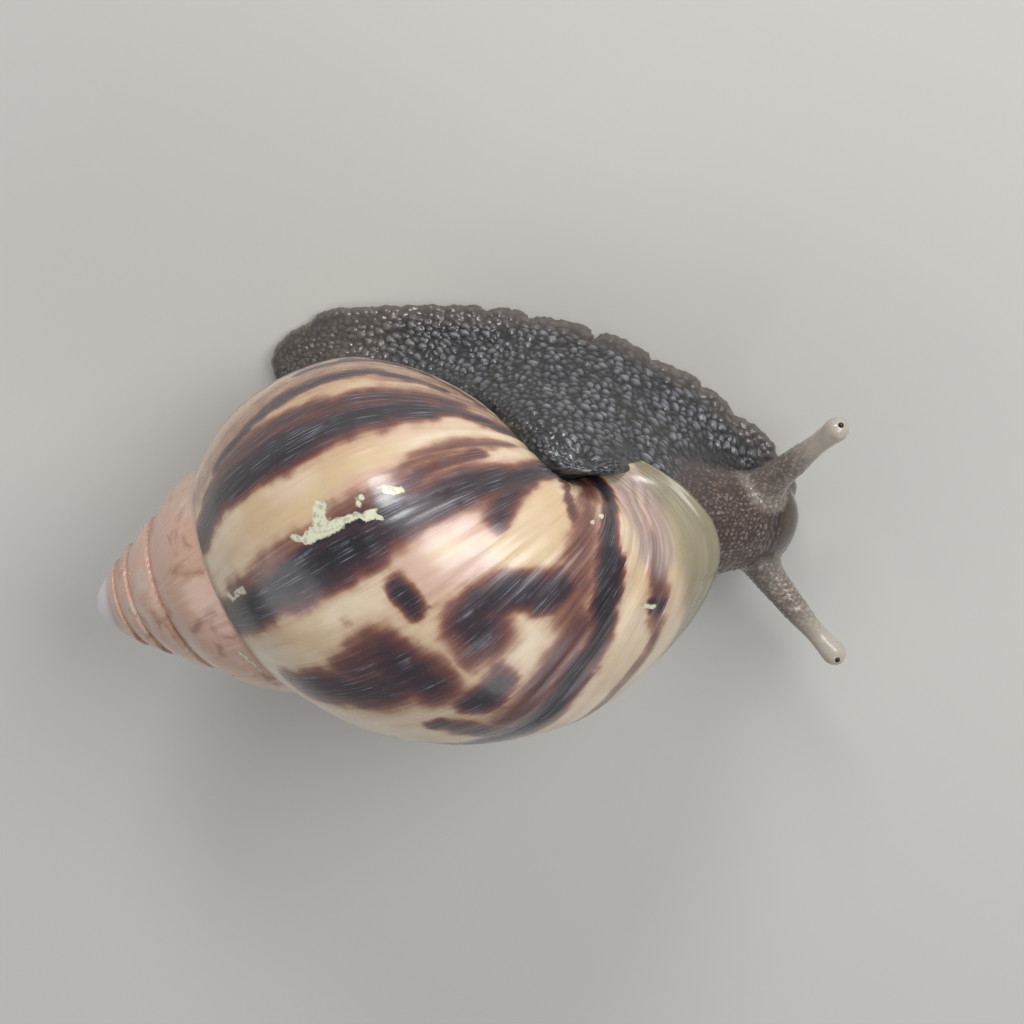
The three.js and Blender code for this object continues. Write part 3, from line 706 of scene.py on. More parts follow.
def mark_shell(shell):
    """Stores pigment, tints and wear for every face corner of the shell."""
    lines = read(shell.data.uv_layers["growth_lines"].data, "uv", 2)
    degree, share = lines[:, 0] * 360, lines[:, 1]
    flat = np.stack([degree * MM_PER_DEGREE, share * LIP_LENGTH], axis=1)
    solid = np.column_stack([flat, np.zeros(len(flat))])
    sway = sum(drifts(solid, size, channels) * reach for size, reach, channels in MARK_SWAY)
    swayed = flat + sway
    strokes = (*MARKINGS, *hidden_flames())
    dark = painted(swayed, strokes, PIGMENT_SOFTNESS)
    veil = painted(swayed, widened(strokes, VEIL_REACH), VEIL_SOFTNESS)
    dark = np.maximum(dark, VEIL_DEPTH * veil * (0.6 + 0.4 * drift(solid * (1, 0.3, 1), 3.0, 8)))
    old = ease(degree, *OLD_FROM)
    faint = widened([stroke for stroke in MARKINGS if stroke[2][0][0] < OLD_FROM[1]], 0.5)
    dark *= (1 - 0.9 * painted(swayed, CLEARINGS, 1.2)) * (1 - 0.95 * old)
    film_edge = -np.interp(share, *np.array(FILM_EDGE).T)
    marks = {
        "pigment": np.maximum(dark, 0.8 * painted(swayed, faint, 1.5)),
        "rose": painted(swayed, ROSE, 2.4),
        "mauve": painted(swayed, MAUVE, 2.2),
        "flaked": painted(flat + sway * 0.6, CHIPS, 0.5),
        "old": old,
        "film": ease(degree, film_edge * 1.25, film_edge * 0.55),
        "edge": ease(degree, -1.6, -0.5),
        "joint": ease(share, 0.024, 0.006),
    }
    for name, values in marks.items():
        store(shell, name, values, "CORNER")
    points = points_of(shell)
    store(shell, "worn", ease(points[:, 2] + 0.25 * np.hypot(points[:, 0], points[:, 1]), *WORN_TIP))


def glazed_periostracum(tree, settings):
    """Glossy skin of the shell over chalk: streaked by growth lines, clear and olive where it is new."""
    lines = add_node(tree, "UVMap", {"uv_map": "growth_lines"})
    spot = add_node(tree, "TexCoord", (), (), "Object")
    fields = stored(tree, "pigment rose mauve flaked old film edge joint worn")
    # A turn is about 170 mm of whorl, and a growth line 72 mm long.
    for name, scale, detail in (
        ("streak", (230, 4.5, 1), 5), ("fine", (620, 9, 1), 3), ("band", (46, 2.2, 1), 4),
    ):
        space = add_node(tree, "Mapping", {}, {"Vector": lines, "Scale": scale})
        fields[name] = add_node(tree, "TexNoise", {}, {"Vector": space, "Scale": 1, "Detail": detail})
    # These scales are features per metre.
    for name, scale, detail, rough, twist in (
        ("mottle", 420, 5, 0.6, 0), ("grit", 1700, 4, 0.5, 0), ("cloud", 110, 3, 0.5, 0),
        ("washed", 190, 4, 0.5, 0), ("smear", 260, 4, 0.5, 0.6),
    ):
        sockets = {"Vector": spot, "Scale": scale, "Detail": detail, "Roughness": rough, "Distortion": twist}
        fields[name] = add_node(tree, "TexNoise", {}, sockets)

    fields["cover"] = jogged(tree, fields["pigment"], ((fields["streak"], 0.3), (fields["mottle"], 0.2)))
    stops = (
        (0.05, settings.tan), (0.22, settings.tan), (0.34, settings.chestnut),
        (0.54, settings.mahogany), (0.76, settings.plum), (0.98, settings.black),
    )
    dark = add_node(tree, "ValToRGB", {"stops": stops}, {"Fac": fields["cover"]})
    shares = {}
    for name, low, high, most in (
        ("cloud", 0.35, 0.65, 1), ("band", 0.45, 0.75, 0.55), ("streak", 0.3, 0.7, 1),
        ("cover", 0.02, 0.46, 1), ("fine", 0.5, 0.72, 0.85), ("mottle", 0.36, 0.62, 1),
        ("grit", 0.45, 0.7, 0.8), ("washed", 0.52, 0.7, 0.7), ("smear", 0.55, 0.7, 0.6),
        ("flaked", 0.02, 0.2, 1), ("edge", 0, 1, 0.7), ("joint", 0, 1, 0.25), ("rose", 0, 1, 0.7),
        ("film", 0, 1, 0.85), ("mauve", 0, 1, 0.8),
    ):
        limits = {"Value": fields[name], "From Min": low, "From Max": high, "To Max": most}
        shares[name] = add_node(tree, "MapRange", {"interpolation_type": "SMOOTHSTEP"}, limits)
    # Painted sheen: a blue-grey reflection of the sky laid as colour over the dark markings, streaked by the
    # fine growth lines and the mottle.
    sheen_streaks = fields["pigment"]
    for share in (shares["fine"], shares["mottle"]):
        sheen_streaks = add_node(tree, "Math", {"operation": "MULTIPLY"}, {0: sheen_streaks, 1: share})
    noises = ((fields["streak"], 0.6), (fields["mottle"], 0.9), (fields["grit"], 0.9))
    ragged = jogged(tree, fields["flaked"], noises)
    ragged = add_node(tree, "MapRange", {}, {"Value": ragged, "From Min": 0.38, "From Max": 0.6})
    chips = add_node(tree, "Math", {"operation": "MULTIPLY"}, {0: ragged, 1: shares["flaked"]})

    old_ground = layered(tree, settings.old_shell, (
        (shares["streak"], settings.old_streak), (shares["cloud"], settings.old_pink),
        (shares["washed"], settings.old_pale), (shares["smear"], settings.old_smear),
    ))
    new_film = layered(tree, settings.film, (
        (shares["cloud"], settings.film_light), (shares["band"], settings.film_light),
    ))
    violet = layered(tree, settings.mauve, ((shares["streak"], settings.mauve_light),))
    chalk = layered(tree, settings.chip, ((shares["grit"], settings.chip_dull),))
    shade = layered(tree, settings.cream, (
        (shares["cloud"], settings.straw), (shares["band"], settings.blush), (shares["rose"], settings.rose),
        (fields["old"], old_ground), (shares["cover"], dark), (sheen_streaks, settings.painted_sheen),
        (shares["mauve"], violet), (shares["film"], new_film), (shares["edge"], settings.film_light),
        (shares["joint"], settings.plum), (fields["worn"], settings.apex), (chips, chalk),
    ))

    bumps = None
    for height, strength, distance, sunk in (
        (fields["streak"], 0.35, 0.00018, False), (fields["fine"], 0.3, 0.00006, False),
        (chips, 0.8, 0.00012, True),
    ):
        sockets = {"Height": height, "Strength": strength, "Distance": distance}
        if bumps:
            sockets["Normal"] = bumps
        bumps = add_node(tree, "Bump", {"invert": sunk}, sockets)
    limits = {"Value": fields["mottle"], "From Min": 0.3, "From Max": 0.75, "To Min": 0.24, "To Max": 0.5}
    rough = add_node(tree, "MapRange", {}, limits)
    rough = add_node(tree, "Math", {"operation": "MULTIPLY_ADD"}, {0: chips, 1: 0.35, 2: rough})
    return {
        "Base Color": shade, "Roughness": rough, "Normal": bumps, "IOR": 1.5,
        "Coat Weight": 0.8, "Coat Roughness": 0.2, "Coat IOR": 1.5,
        "Subsurface Weight": 0.12, "Subsurface Radius": (1.0, 0.6, 0.4), "Subsurface Scale": 0.0012,
    }


def porcelain_lining(tree, settings):
    """Porcelain-like inside of the shell: smooth, bluish white."""
    spot = add_node(tree, "TexCoord", (), (), "Object")
    clouds = add_node(tree, "TexNoise", {}, {"Vector": spot, "Scale": 160, "Detail": 4})
    shade = layered(tree, settings.lining, ((clouds, settings.lining_blue),))
    return {"Base Color": shade, "Roughness": 0.25, "IOR": 1.5, "Coat Weight": 0.4, "Coat Roughness": 0.1}


def shell_to_snail():
    """Where the shell's own frame lies in the snail's."""
    axis = Vector((
        math.cos(SHELL_PITCH) * math.cos(SHELL_YAW),
        math.cos(SHELL_PITCH) * math.sin(SHELL_YAW),
        math.sin(SHELL_PITCH),
    ))
    level = axis.cross(Vector((0, 0, 1))).normalized()
    lip_way = Matrix.Rotation(SHELL_ROLL, 3, axis) @ level
    third = axis.cross(lip_way)
    basis = Matrix((lip_way, third, axis)).transposed().to_4x4()
    return Matrix.Scale(MM, 4) @ Matrix.Translation(SHELL_START) @ basis


# ---- Flesh ---------------------------------------------------------------------------------------
def foot_half_width(along):
    """Half the foot's width at places along the snail: blunter in front than behind."""
    place = (2 * along - FOOT_REAR - FOOT_FRONT) / (FOOT_FRONT - FOOT_REAR)
    power = np.where(place < 0, FOOT_TAPER[0], FOOT_TAPER[1])
    return FOOT_HALF_WIDTH * np.sqrt(np.clip(1 - np.abs(place) ** power, 0, None))


def foot_edge():
    """The foot's outline seen from above, as points once round it."""
    turn = np.linspace(0, math.pi, 260)
    along = (FOOT_REAR + FOOT_FRONT) / 2 - np.cos(turn) * (FOOT_FRONT - FOOT_REAR) / 2
    half = foot_half_width(along)
    left = np.stack([along, FOOT_MIDDLE_Y + half], axis=1)
    right = np.stack([along, FOOT_MIDDLE_Y - half], axis=1)[::-1]
    return np.concatenate([left, right[1:-1]])


def from_foot_edge(points):
    """Distance in from the foot's outline, the nearest point on it, the way out there and the run to it."""
    edge = foot_edge()
    ahead = np.roll(edge, -1, axis=0) - np.roll(edge, 1, axis=0)
    outward = np.stack([-ahead[:, 1], ahead[:, 0]], axis=1)
    outward /= np.linalg.norm(outward, axis=1)[:, None]
    lengths = np.concatenate(([0], np.cumsum(np.linalg.norm(np.diff(edge, axis=0), axis=1))))
    nearest = np.empty(len(points), int)
    gap = np.empty(len(points))
    for start in range(0, len(points), BATCH):
        part = slice(start, start + BATCH)
        squares = ((points[part, None, :2] - edge) ** 2).sum(axis=-1)
        nearest[part] = squares.argmin(axis=1)
        gap[part] = np.sqrt(squares.min(axis=1))
    inside = ((points[:, :2] - edge[nearest]) * outward[nearest]).sum(axis=1) < 0
    return np.where(inside, gap, -gap), edge[nearest], outward[nearest], lengths[nearest]


def join_flesh(settings):
    """Copies of every flesh node, swollen until they meet, as one piece."""
    bpy.ops.object.select_all(action="DESELECT")
    for name in FLESH:
        frame["nodes"][name].select_set(True)
    bpy.context.view_layer.objects.active = frame["nodes"]["trunk"]
    bpy.ops.object.duplicate()
    copies = list(bpy.context.selected_objects)
    bpy.ops.object.parent_clear(type="CLEAR_KEEP_TRANSFORM")
    for copy in copies:
        swell = settings.mantle_swell if copy.name.startswith("mantle") else settings.swell
        only(copy)
        bpy.ops.object.mode_set(mode="EDIT")
        bpy.ops.mesh.select_all(action="SELECT")
        bpy.ops.mesh.remove_doubles(threshold=NODE_MERGE)
        bpy.ops.object.mode_set(mode="OBJECT")
        use_modifier(copy, "DISPLACE", strength=swell, mid_level=0)
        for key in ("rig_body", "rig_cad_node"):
            del copy[key]
    only(copies[0])
    for copy in copies:
        copy.select_set(True)
    bpy.ops.object.join()
    skin = bpy.context.object
    skin.data.materials.clear()
    return skin


def weigh(skin, name, weights):
    """A vertex group from a number for each point."""
    group = skin.vertex_groups.new(name=name)
    levels = np.rint(weights * 10).astype(int)
    for level in range(1, 11):
        group.add(np.flatnonzero(levels == level).tolist(), level / 10, "REPLACE")
    return group.name


def tentacle_gaps(points):
    """Distance to each upper tentacle's middle line, and share of the way along it."""
    return {side: from_line(points, route) for side, route in TENTACLES.items()}


def melt(skin, settings):
    """Makes the joined copies one even, rounded surface."""
    use_modifier(skin, "REMESH", mode="VOXEL", voxel_size=settings.grain)
    points = points_of(skin) / MM
    slim = np.ones(len(points))
    for gap, share in tentacle_gaps(points).values():
        slim = np.minimum(slim, ease(gap, 3.4, 6.0) + 0.25 * ease(share, 0.3, 0.0))
    lobes = ease(points[:, 0], 29.0, 27.0)
    inside, _, _, _ = from_foot_edge(points)
    thin = ease(inside, 0.6, 3.0) + ease(points[:, 2], 2.5, 5.0)
    broad = np.clip(slim * np.maximum(lobes, 0.3) * np.clip(thin, 0, 1), 0, 1)
    group = weigh(skin, "broad", broad)
    use_modifier(skin, "SMOOTH", factor=0.5, iterations=6)
    use_modifier(skin, "SMOOTH", factor=0.5, iterations=70, vertex_group=group)
    skin.vertex_groups.clear()


def gap_to(shell_tree, point):
    return shell_tree.find_nearest(Vector(point * MM))[3] / MM


def refine(skin, shell_tree):
    """Splits the faces that show, where the skin has its fine relief."""
    centres = read(skin.data.polygons, "center") / MM
    steep = read(skin.data.polygons, "normal")[:, 2] < UNDERSIDE_SLOPE
    shows = (centres[:, 2] > SOLE_TOP) & ~(steep & (centres[:, 2] < FRILL_TOP))
    for index in np.flatnonzero(shows):
        if gap_to(shell_tree, centres[index]) < HIDDEN_BY_SHELL:
            shows[index] = False
    pick_faces(skin, shows)
    bpy.ops.mesh.subdivide(number_cuts=1)
    bpy.ops.object.mode_set(mode="OBJECT")


def edge_waves(nearest, run):
    """How far the foot's frill stands in or out at each point of its edge."""
    along = np.column_stack([run, np.zeros(len(run)), np.zeros(len(run))])
    waves = 0.36 * drift(along, 5.2, 80) + 0.2 * drift(along, 2.1, 81) + 0.12 * drift(along, 0.9, 82)
    left = nearest[:, 1] > FOOT_MIDDLE_Y
    for place, depth in NOTCHES:
        gap = np.where(left, nearest[:, 0] - place, nearest[:, 0] - place + 1.7)
        waves -= depth * np.exp(-((gap / 0.55) ** 2))
        waves += 0.4 * depth * np.exp(-(((np.abs(gap) - 2.2) / 1.3) ** 2))
    return waves


def skin_regions(points, inside, shell_gap):
    """How much each point belongs to each kind of skin, from 0 to 1."""
    x, _, z = points.T
    tentacle = np.zeros(len(points))
    bulb = np.zeros(len(points))
    for gap, share in tentacle_gaps(points).values():
        tentacle = np.maximum(tentacle, ease(gap, 4.0, 3.2) * ease(share, 0.02, 0.2))
        bulb = np.maximum(bulb, ease(gap, 3.0, 2.0) * ease(share, 0.5, 0.93))
    neck_gap, neck_share = from_line(points, [station[:3] for station in NECK_LINE])
    reach = np.interp(neck_share, np.linspace(0, 1, len(NECK_LINE)), [station[3] for station in NECK_LINE])
    neck = ease(neck_gap / reach, 1.35, 1.12) * ease(x, 14.5, 18.5) * ease(z, 3.0, 5.5)
    lobe = ease(x, 30.2, 31.6) * ease(z, 1.2, 2.4) * (1 - tentacle)
    furrow = np.exp(-(((neck_gap / reach - 1.3) / 0.16) ** 2)) * ease(x, 15, 19) * (1 - lobe)
    return {
        "tentacle": tentacle,
        "bulb": bulb,
        "neck": np.maximum(neck, ease(x, 28.0, 29.5) * ease(z, 1.5, 3.0)),
        "lobe": lobe,
        "furrow": furrow * ease(z, 2.0, 4.0) * (1 - tentacle),
        "sole": ease(z, 0.5, 0.1),
        "frill": ease(inside + 0.5 * drift(points, 2.6, 30), 2.4, 0.9) * ease(z, 4.0, 2.6),
        "near_shell": 1 - ease(shell_gap, 0.2, 1.3),
        "rim": ease(inside, 0.6, 0.0) * ease(z, 2.4, 1.6),
        "tail": ease(x, -14, -26),
    }


def tubercles(points, warped, far):
    """Height of the flank's tubercles as shares: longish domes in slanting rows, finer near the shell."""
    side = np.where(points[:, 1] > FOOT_MIDDLE_Y, 1.0, -1.0)
    row = np.stack([np.full(len(points), 0.88), -0.42 * side, np.full(len(points), 0.2)], axis=1)
    row /= np.linalg.norm(row, axis=1)[:, None]
    along = (warped * row).sum(axis=1)[:, None] * row
    coarse, fine = (
        domes((warped - along) / width + along / length + 37.0 * (side[:, None] > 0), jitter, channel)
        for width, length, jitter, channel in TUBERCLE_SIZES
    )
    fused = ease(drift(points, 2.3, 55), 0.1, 0.6)
    coarse = coarse * (1 - 0.25 * fused) + 0.2 * fused * ease(coarse, 0.0, 0.3)
    return coarse * far + 0.75 * fine * (1 - far)


def domes(places, jitter, channel):
    """Height of a rounded dome on every seed, each with a height of its own."""
    wall, middle, number = cells(places, jitter, channel)
    return ease(wall, 0.0, 0.42) * (1 - 0.45 * np.minimum(middle, 1) ** 2) * (0.62 + 0.38 * number)


def carve(skin, shell_tree, settings):
    """Raises the tubercles, beads, folds and frill, and stores what the material needs to know of them."""
    points = points_of(skin) / MM
    x, _, z = points.T
    inside, nearest, outward, run = from_foot_edge(points)
    shell_gap = np.array([gap_to(shell_tree, point) for point in points])
    marks = skin_regions(points, inside, shell_gap)
    tentacle, bulb, neck, lobe, furrow, sole, frill = (
        marks[name] for name in ("tentacle", "bulb", "neck", "lobe", "furrow", "sole", "frill")
    )
    far = ease(shell_gap, 1.0, 4.0) * ease(x, -32, -18)
    warped = points + 0.6 * (drifts(points, 5.0, (20, 21, 22)) + 0.4 * drifts(points, 1.8, (24, 25, 26)))
    nodules = tubercles(points, warped, far)
    wall, middle, number = cells(warped / BEAD_SIZE + 11.0, 0.55, 60)
    beads = ease(wall, 0.05, 0.45) * (0.4 + 0.6 * number) * (1 - 0.5 * middle**2)

    flank = (1 - neck) * (1 - 0.4 * frill) * (1 - tentacle) * (1 - sole) * ease(z, 0.25, 1.0)
    flank *= ease(inside, -0.3, 0.3)
    relief = settings.tubercle / MM * nodules * flank * ease(shell_gap, 0.2, 1.4) * (1 - 0.75 * furrow)
    beaded = neck * (1 - lobe) * (1 - bulb) * (1 - 0.8 * furrow) * (1 - 0.6 * tentacle)
    relief += settings.bead / MM * beads * beaded
    relief += 0.03 * beads * tentacle * (1 - bulb)
    relief -= 0.25 * furrow
    relief += 0.14 * drift(points, 4.2, 70) * (1 - tentacle) * (1 - sole) * ease(z, 0.8, 3) * far
    relief += 0.06 * np.sin(run * 2.3 + 2.0 * drift(points, 3.0, 75)) * frill * (1 - sole)
    relief[z < 0.1] = 0
    moved = points + read(skin.data.vertices, "normal") * relief[:, None]
    out = edge_waves(nearest, run) * ease(inside, 3.0, 0.3) * ease(z, 3.5, 1.2)
    moved[:, :2] += outward * out[:, None]

    # The flap beside the lip is drawn back, so that its edge runs along the shell.
    way = np.array(FLAP_WAY)
    over = np.maximum(moved @ way - FLAP_START, 0) * (1 - FLAP_KEPT)
    over *= ease(x, 0, 7) * ease(x, 17, 13) * ease(z, 16, 20)
    moved -= over[:, None] * way
    moved[:, 2] = np.maximum(moved[:, 2], 0)
    move_points(skin, moved * MM)

    crest = nodules * flank + beads * neck * (1 - tentacle) + 0.8 * beads * tentacle
    for name, values in {**marks, "crest": crest}.items():
        store(skin, name, np.clip(values, 0, 1))


def wet_tubercled_skin(tree, settings):
    """Living snail skin: wet mucus over dark tubercles with paler tops, and light let in at the edges; shade
    is painted into the grooves between tubercles and beads and into the furrow by the neck, and highlights
    onto the highest tubercles and the beads' tops.
    """
    spot = add_node(tree, "TexCoord", (), (), "Object")
    grain = add_node(tree, "TexNoise", {}, {"Vector": spot, "Scale": 2600, "Detail": 4, "Roughness": 0.65})
    patches = add_node(tree, "TexNoise", {}, {"Vector": spot, "Scale": 420, "Detail": 3})
    marks = stored(tree, "crest neck frill tentacle bulb lobe furrow sole near_shell rim tail")
    grained = jogged(tree, marks["crest"], ((grain, 0.35),))
    tops = {}
    # The flank's colour follows the height of its tubercles: the near-black grooves are painted shade, the
    # tops carry the skin's own grey, and the pale highest tips are a painted highlight.
    for name, stops in (
        ("flank", (
            (0.0, settings.flank_groove_shade), (0.25, settings.flank_side),
            (0.6, settings.flank_top), (0.95, settings.flank_tip_highlight),
        )),
        # The neck's colour follows the height of its beads: darker painted shade between them, and a pale
        # painted wet highlight on their tops.
        ("neck", ((0.05, settings.neck_groove_shade), (0.4, settings.neck_side), (0.8, settings.neck_bead_highlight))),
        ("tentacle", ((0.0, settings.tentacle_dark), (0.7, settings.tentacle_light))),
        ("tail", ((0.0, settings.tail_dark), (0.7, settings.tail_light))),
    ):
        tops[name] = add_node(tree, "ValToRGB", {"stops": stops}, {"Fac": grained})
    hem = layered(tree, settings.frill_dark, (
        (patches, settings.frill_light), (marks["crest"], settings.rim),
    ))
    shares = {}
    for name, source, low, high, least, most in (
        ("brown", patches, 0.45, 0.7, 0, 0.3), ("frill", marks["frill"], 0, 1, 0, 0.55),
        ("rim", marks["rim"], 0, 1, 0, 0.4), ("near_shell", marks["near_shell"], 0, 1, 0, 0.55),
        ("rough", grain, 0.3, 0.7, 0.3, 0.55),
    ):
        limits = {"Value": source, "From Min": low, "From Max": high, "To Min": least, "To Max": most}
        shares[name] = add_node(tree, "MapRange", {}, limits)
    shade = layered(tree, tops["flank"], (
        (shares["brown"], settings.flank_brown), (marks["tail"], tops["tail"]), (shares["frill"], hem),
        # The furrow layer is painted shade in the crease between flank and neck.
        (marks["neck"], tops["neck"]), (marks["furrow"], settings.furrow),
        (shares["near_shell"], settings.mantle_edge), (marks["tentacle"], tops["tentacle"]),
        (marks["lobe"], settings.lobe), (marks["bulb"], settings.bulb), (shares["rim"], settings.rim),
        (marks["sole"], settings.sole),
    ))
    bumps = add_node(tree, "Bump", {}, {"Height": grain, "Strength": 0.4, "Distance": 0.0001})
    return {
        "Base Color": shade, "Roughness": shares["rough"], "Normal": bumps, "IOR": 1.4,
        "Coat Weight": 1.0, "Coat Roughness": 0.13, "Coat IOR": 1.4,
        "Subsurface Weight": 0.15, "Subsurface Radius": (1.0, 0.7, 0.5), "Subsurface Scale": 0.0008,
    }


def black_eye_lens(tree, settings):
    """Lens over black pigment: almost black, with a hard wet gloss."""
    spot = add_node(tree, "TexCoord", (), (), "Object")
    clouds = add_node(tree, "TexNoise", {}, {"Vector": spot, "Scale": 3000, "Detail": 2})
    shade = layered(tree, settings.pupil, ((clouds, settings.pupil_rim),))
    return {"Base Color": shade, "Roughness": 0.2, "IOR": 1.45, "Coat Weight": 0.5, "Coat Roughness": 0.1}


def matt_painted_floor(tree, settings):
    """Plain matt paint of the floor under the snail."""
    return {"Base Color": settings.floor, "Roughness": 0.85}


# ---- What a user may change ----------------------------------------------------------------------
class ShellSettings(bpy.types.PropertyGroup):
    cream: paint("Cream", "#ead6ba", "Ground colour of the last whorl")
    straw: paint("Straw", "#d8bd96", "Yellower patches of the ground")
    blush: paint("Blush", "#cfa68f", "Pinkish-tan growth bands of the ground")
    rose: paint("Rose", "#d3aca2", "Pinkish tint where pigment lies deep")
    tan: paint("Tan", "#b98f74", "Outer halo of the markings")
    chestnut: paint("Chestnut", "#9b6d57", "Halo of the markings")
    mahogany: paint("Mahogany", "#6c423c", "Body of the paler markings")
    plum: paint("Plum", "#432f35", "Purplish body of the dark markings")
    black: paint("Black", "#26242a", "Core of the dark markings")
    # Painted sheen: this colour stands for a blue-grey reflection of the sky on the dark markings.
    painted_sheen: paint("Scuff", "#8d8c9a", "Fine dusty scratches on the dark markings")
    old_shell: paint("Old shell", "#cba389", "Ground of the older whorls")
    old_streak: paint("Old streak", "#d9b79c", "Paler growth lines of the older whorls")
    old_pink: paint("Old pink", "#d5ac9a", "Pinker clouds of the older whorls")
    old_pale: paint("Old pale", "#d8c6b9", "Chalky worn patches of the older whorls")
    old_smear: paint("Old smear", "#956a4e", "Brown smears of the older whorls")
    apex: paint("Apex", "#e2d8de", "Worn tip")
    film: paint("Film", "#68634b", "New clear shell behind the lip")
    film_light: paint("Film light", "#8a846b", "Paler growth lines of the new shell")
    chip: paint("Chip", "#dfdcc2", "Bare chalk where the skin of the shell has flaked")
    chip_dull: paint("Dull chip", "#a8a68f", "Soiled streaks in the bare chalk")
    mauve: paint("Mauve", "#8a7370", "Violet-brown shell behind the clear part")
    mauve_light: paint("Mauve light", "#b9a59c", "Paler growth lines of the violet-brown shell")
    lining: paint("Lining", "#d8d4cc", "Inside of the shell")
    lining_blue: paint("Lining blue", "#b9c0c8", "Bluish clouds inside the shell")


class SkinSettings(bpy.types.PropertyGroup):
    swell: size("Swell", 0.0002, "How far each body part swells to meet the next")
    mantle_swell: size("Mantle swell", 0.0006, "How far the mantle swells towards the shell's wall")
    grain: size("Grain", 0.000515, "Size of the surface's even faces before they are split")
    tubercle: size("Tubercle", 0.00052, "Height of the flank's tubercles")
    bead: size("Bead", 0.00024, "Height of the neck's beads")
    # Painted shade: near black between the tubercles.
    flank_groove_shade: paint("Flank groove", "#18181a", "Skin between the tubercles")
    flank_side: paint("Flank side", "#37383b", "Sides of the tubercles")
    flank_top: paint("Flank top", "#5c5d61", "Tops of the tubercles")
    # Painted highlight: pale tops of the highest tubercles.
    flank_tip_highlight: paint("Flank tip", "#85868b", "Highest tubercles")
    flank_brown: paint("Flank brown", "#3a342f", "Brown patches of the flank")
    # Painted shade: darker skin between the neck's beads.
    neck_groove_shade: paint("Neck groove", "#43362f", "Skin between the beads")
    neck_side: paint("Neck side", "#615149", "Sides of the beads")
    # Painted highlight: pale wet tops of the neck's beads.
    neck_bead_highlight: paint("Neck bead", "#8e7f76", "Tops of the beads")
    frill_dark: paint("Frill dark", "#3b3533", "Darker parts of the foot's frill")
    frill_light: paint("Frill light", "#645a55", "Paler parts of the foot's frill")
    rim: paint("Rim", "#80766e", "Outermost edge of the frill")
    # Painted shade: the near-black furrow colour stands for the shadow in the crease between flank and neck.
    furrow: paint("Furrow", "#252428", "Smooth furrow between flank and neck")
    mantle_edge: paint("Mantle edge", "#4a4b4b", "Smooth skin against the shell")
    tentacle_dark: paint("Tentacle dark", "#6f645c", "Skin between the tentacle's grains")
    tentacle_light: paint("Tentacle light", "#a2978c", "Tops of the tentacle's grains")
    bulb: paint("Bulb", "#b8aea1", "End of the tentacle round the eye")
    lobe: paint("Lobe", "#4a3f39", "Smooth front of the head")
    tail_dark: paint("Tail dark", "#403a36", "Grooves of the tail")
    tail_light: paint("Tail light", "#6f6861", "Tubercles of the tail")
    sole: paint("Sole", "#8c8375", "Underside of the foot")


class EyeSettings(bpy.types.PropertyGroup):
    facets: IntProperty(name="Facets", description="Segments round an eye", default=24, min=8)
    lens_edge: size("Lens edge", 0.45, "Where the lens starts, in radii out from the middle", "NONE")
    lens_rim: size("Lens rim", 0.1, "Width of the lens's raised rim, in radii", "NONE")
    lens_bulge: size("Lens bulge", 0.1, "How far the lens stands out, in radii", "NONE")
    pupil: paint("Pupil", "#050505", "Middle of the eye")
    pupil_rim: paint("Pupil rim", "#16120f", "Cloudier parts of the eye")


class StageSettings(bpy.types.PropertyGroup):
    floor: paint("Floor", "#d9d6d0", "Plain floor")
    lens: size("Lens", 94.5, "Focal length in millimetres", "CAMERA")
    key: size("Key light", 2.1, "Power of the main light", "POWER")
    spark: size("Spark light", 1.8, "Power of the small low light", "POWER")
    fill: size("Fill light", 0.8, "Power of each light on the far side", "POWER")
    room: size("Room light", 0.28, "Strength of the light from all round", "NONE")


# ---- Operators -----------------------------------------------------------------------------------
class SNAIL_OT_shell(bpy.types.Operator):
    """Build the blotched spiral shell"""

    bl_idname = "snail.shell"
    bl_label = "Shell"

    def execute(self, context):
        settings = context.scene.snail_shell
        shell, rim = roll_shell()
        close_apex(shell)
        outside_faces = len(shell.data.polygons)
        close_mouth(shell, rim)
        shell.data.materials.append(new_material("glazed_periostracum", glazed_periostracum, settings))
        shell.data.materials.append(new_material("porcelain_lining", porcelain_lining, settings))
        slots = np.zeros(len(shell.data.polygons), np.int32)
        slots[outside_faces + len(rim):] = 1
        shell.data.polygons.foreach_set("material_index", slots)
        mark_shell(shell)
        shell.matrix_world = shell_to_snail()
        only(shell)
        bpy.ops.object.transform_apply(location=True, rotation=True, scale=True)
        bpy.ops.object.shade_smooth()
        dress(shell, "blotched_shell", "shell", "shell")
        return {"FINISHED"}


class SNAIL_OT_skin(bpy.types.Operator):
    """Build the snail's skin in one piece over all its flesh"""

    bl_idname = "snail.skin"
    bl_label = "Skin"

    def execute(self, context):
        settings = context.scene.snail_skin
        shell = bpy.data.objects["blotched_shell"]
        tree = BVHTree.FromObject(shell, context.evaluated_depsgraph_get())
        skin = join_flesh(settings)
        melt(skin, settings)
        refine(skin, tree)
        carve(skin, tree, settings)
        skin.data.materials.append(new_material("wet_tubercled_skin", wet_tubercled_skin, settings))
        only(skin)
        bpy.ops.object.shade_smooth()
        dress(skin, "snail_skin", "flank", *FLESH)
        return {"FINISHED"}


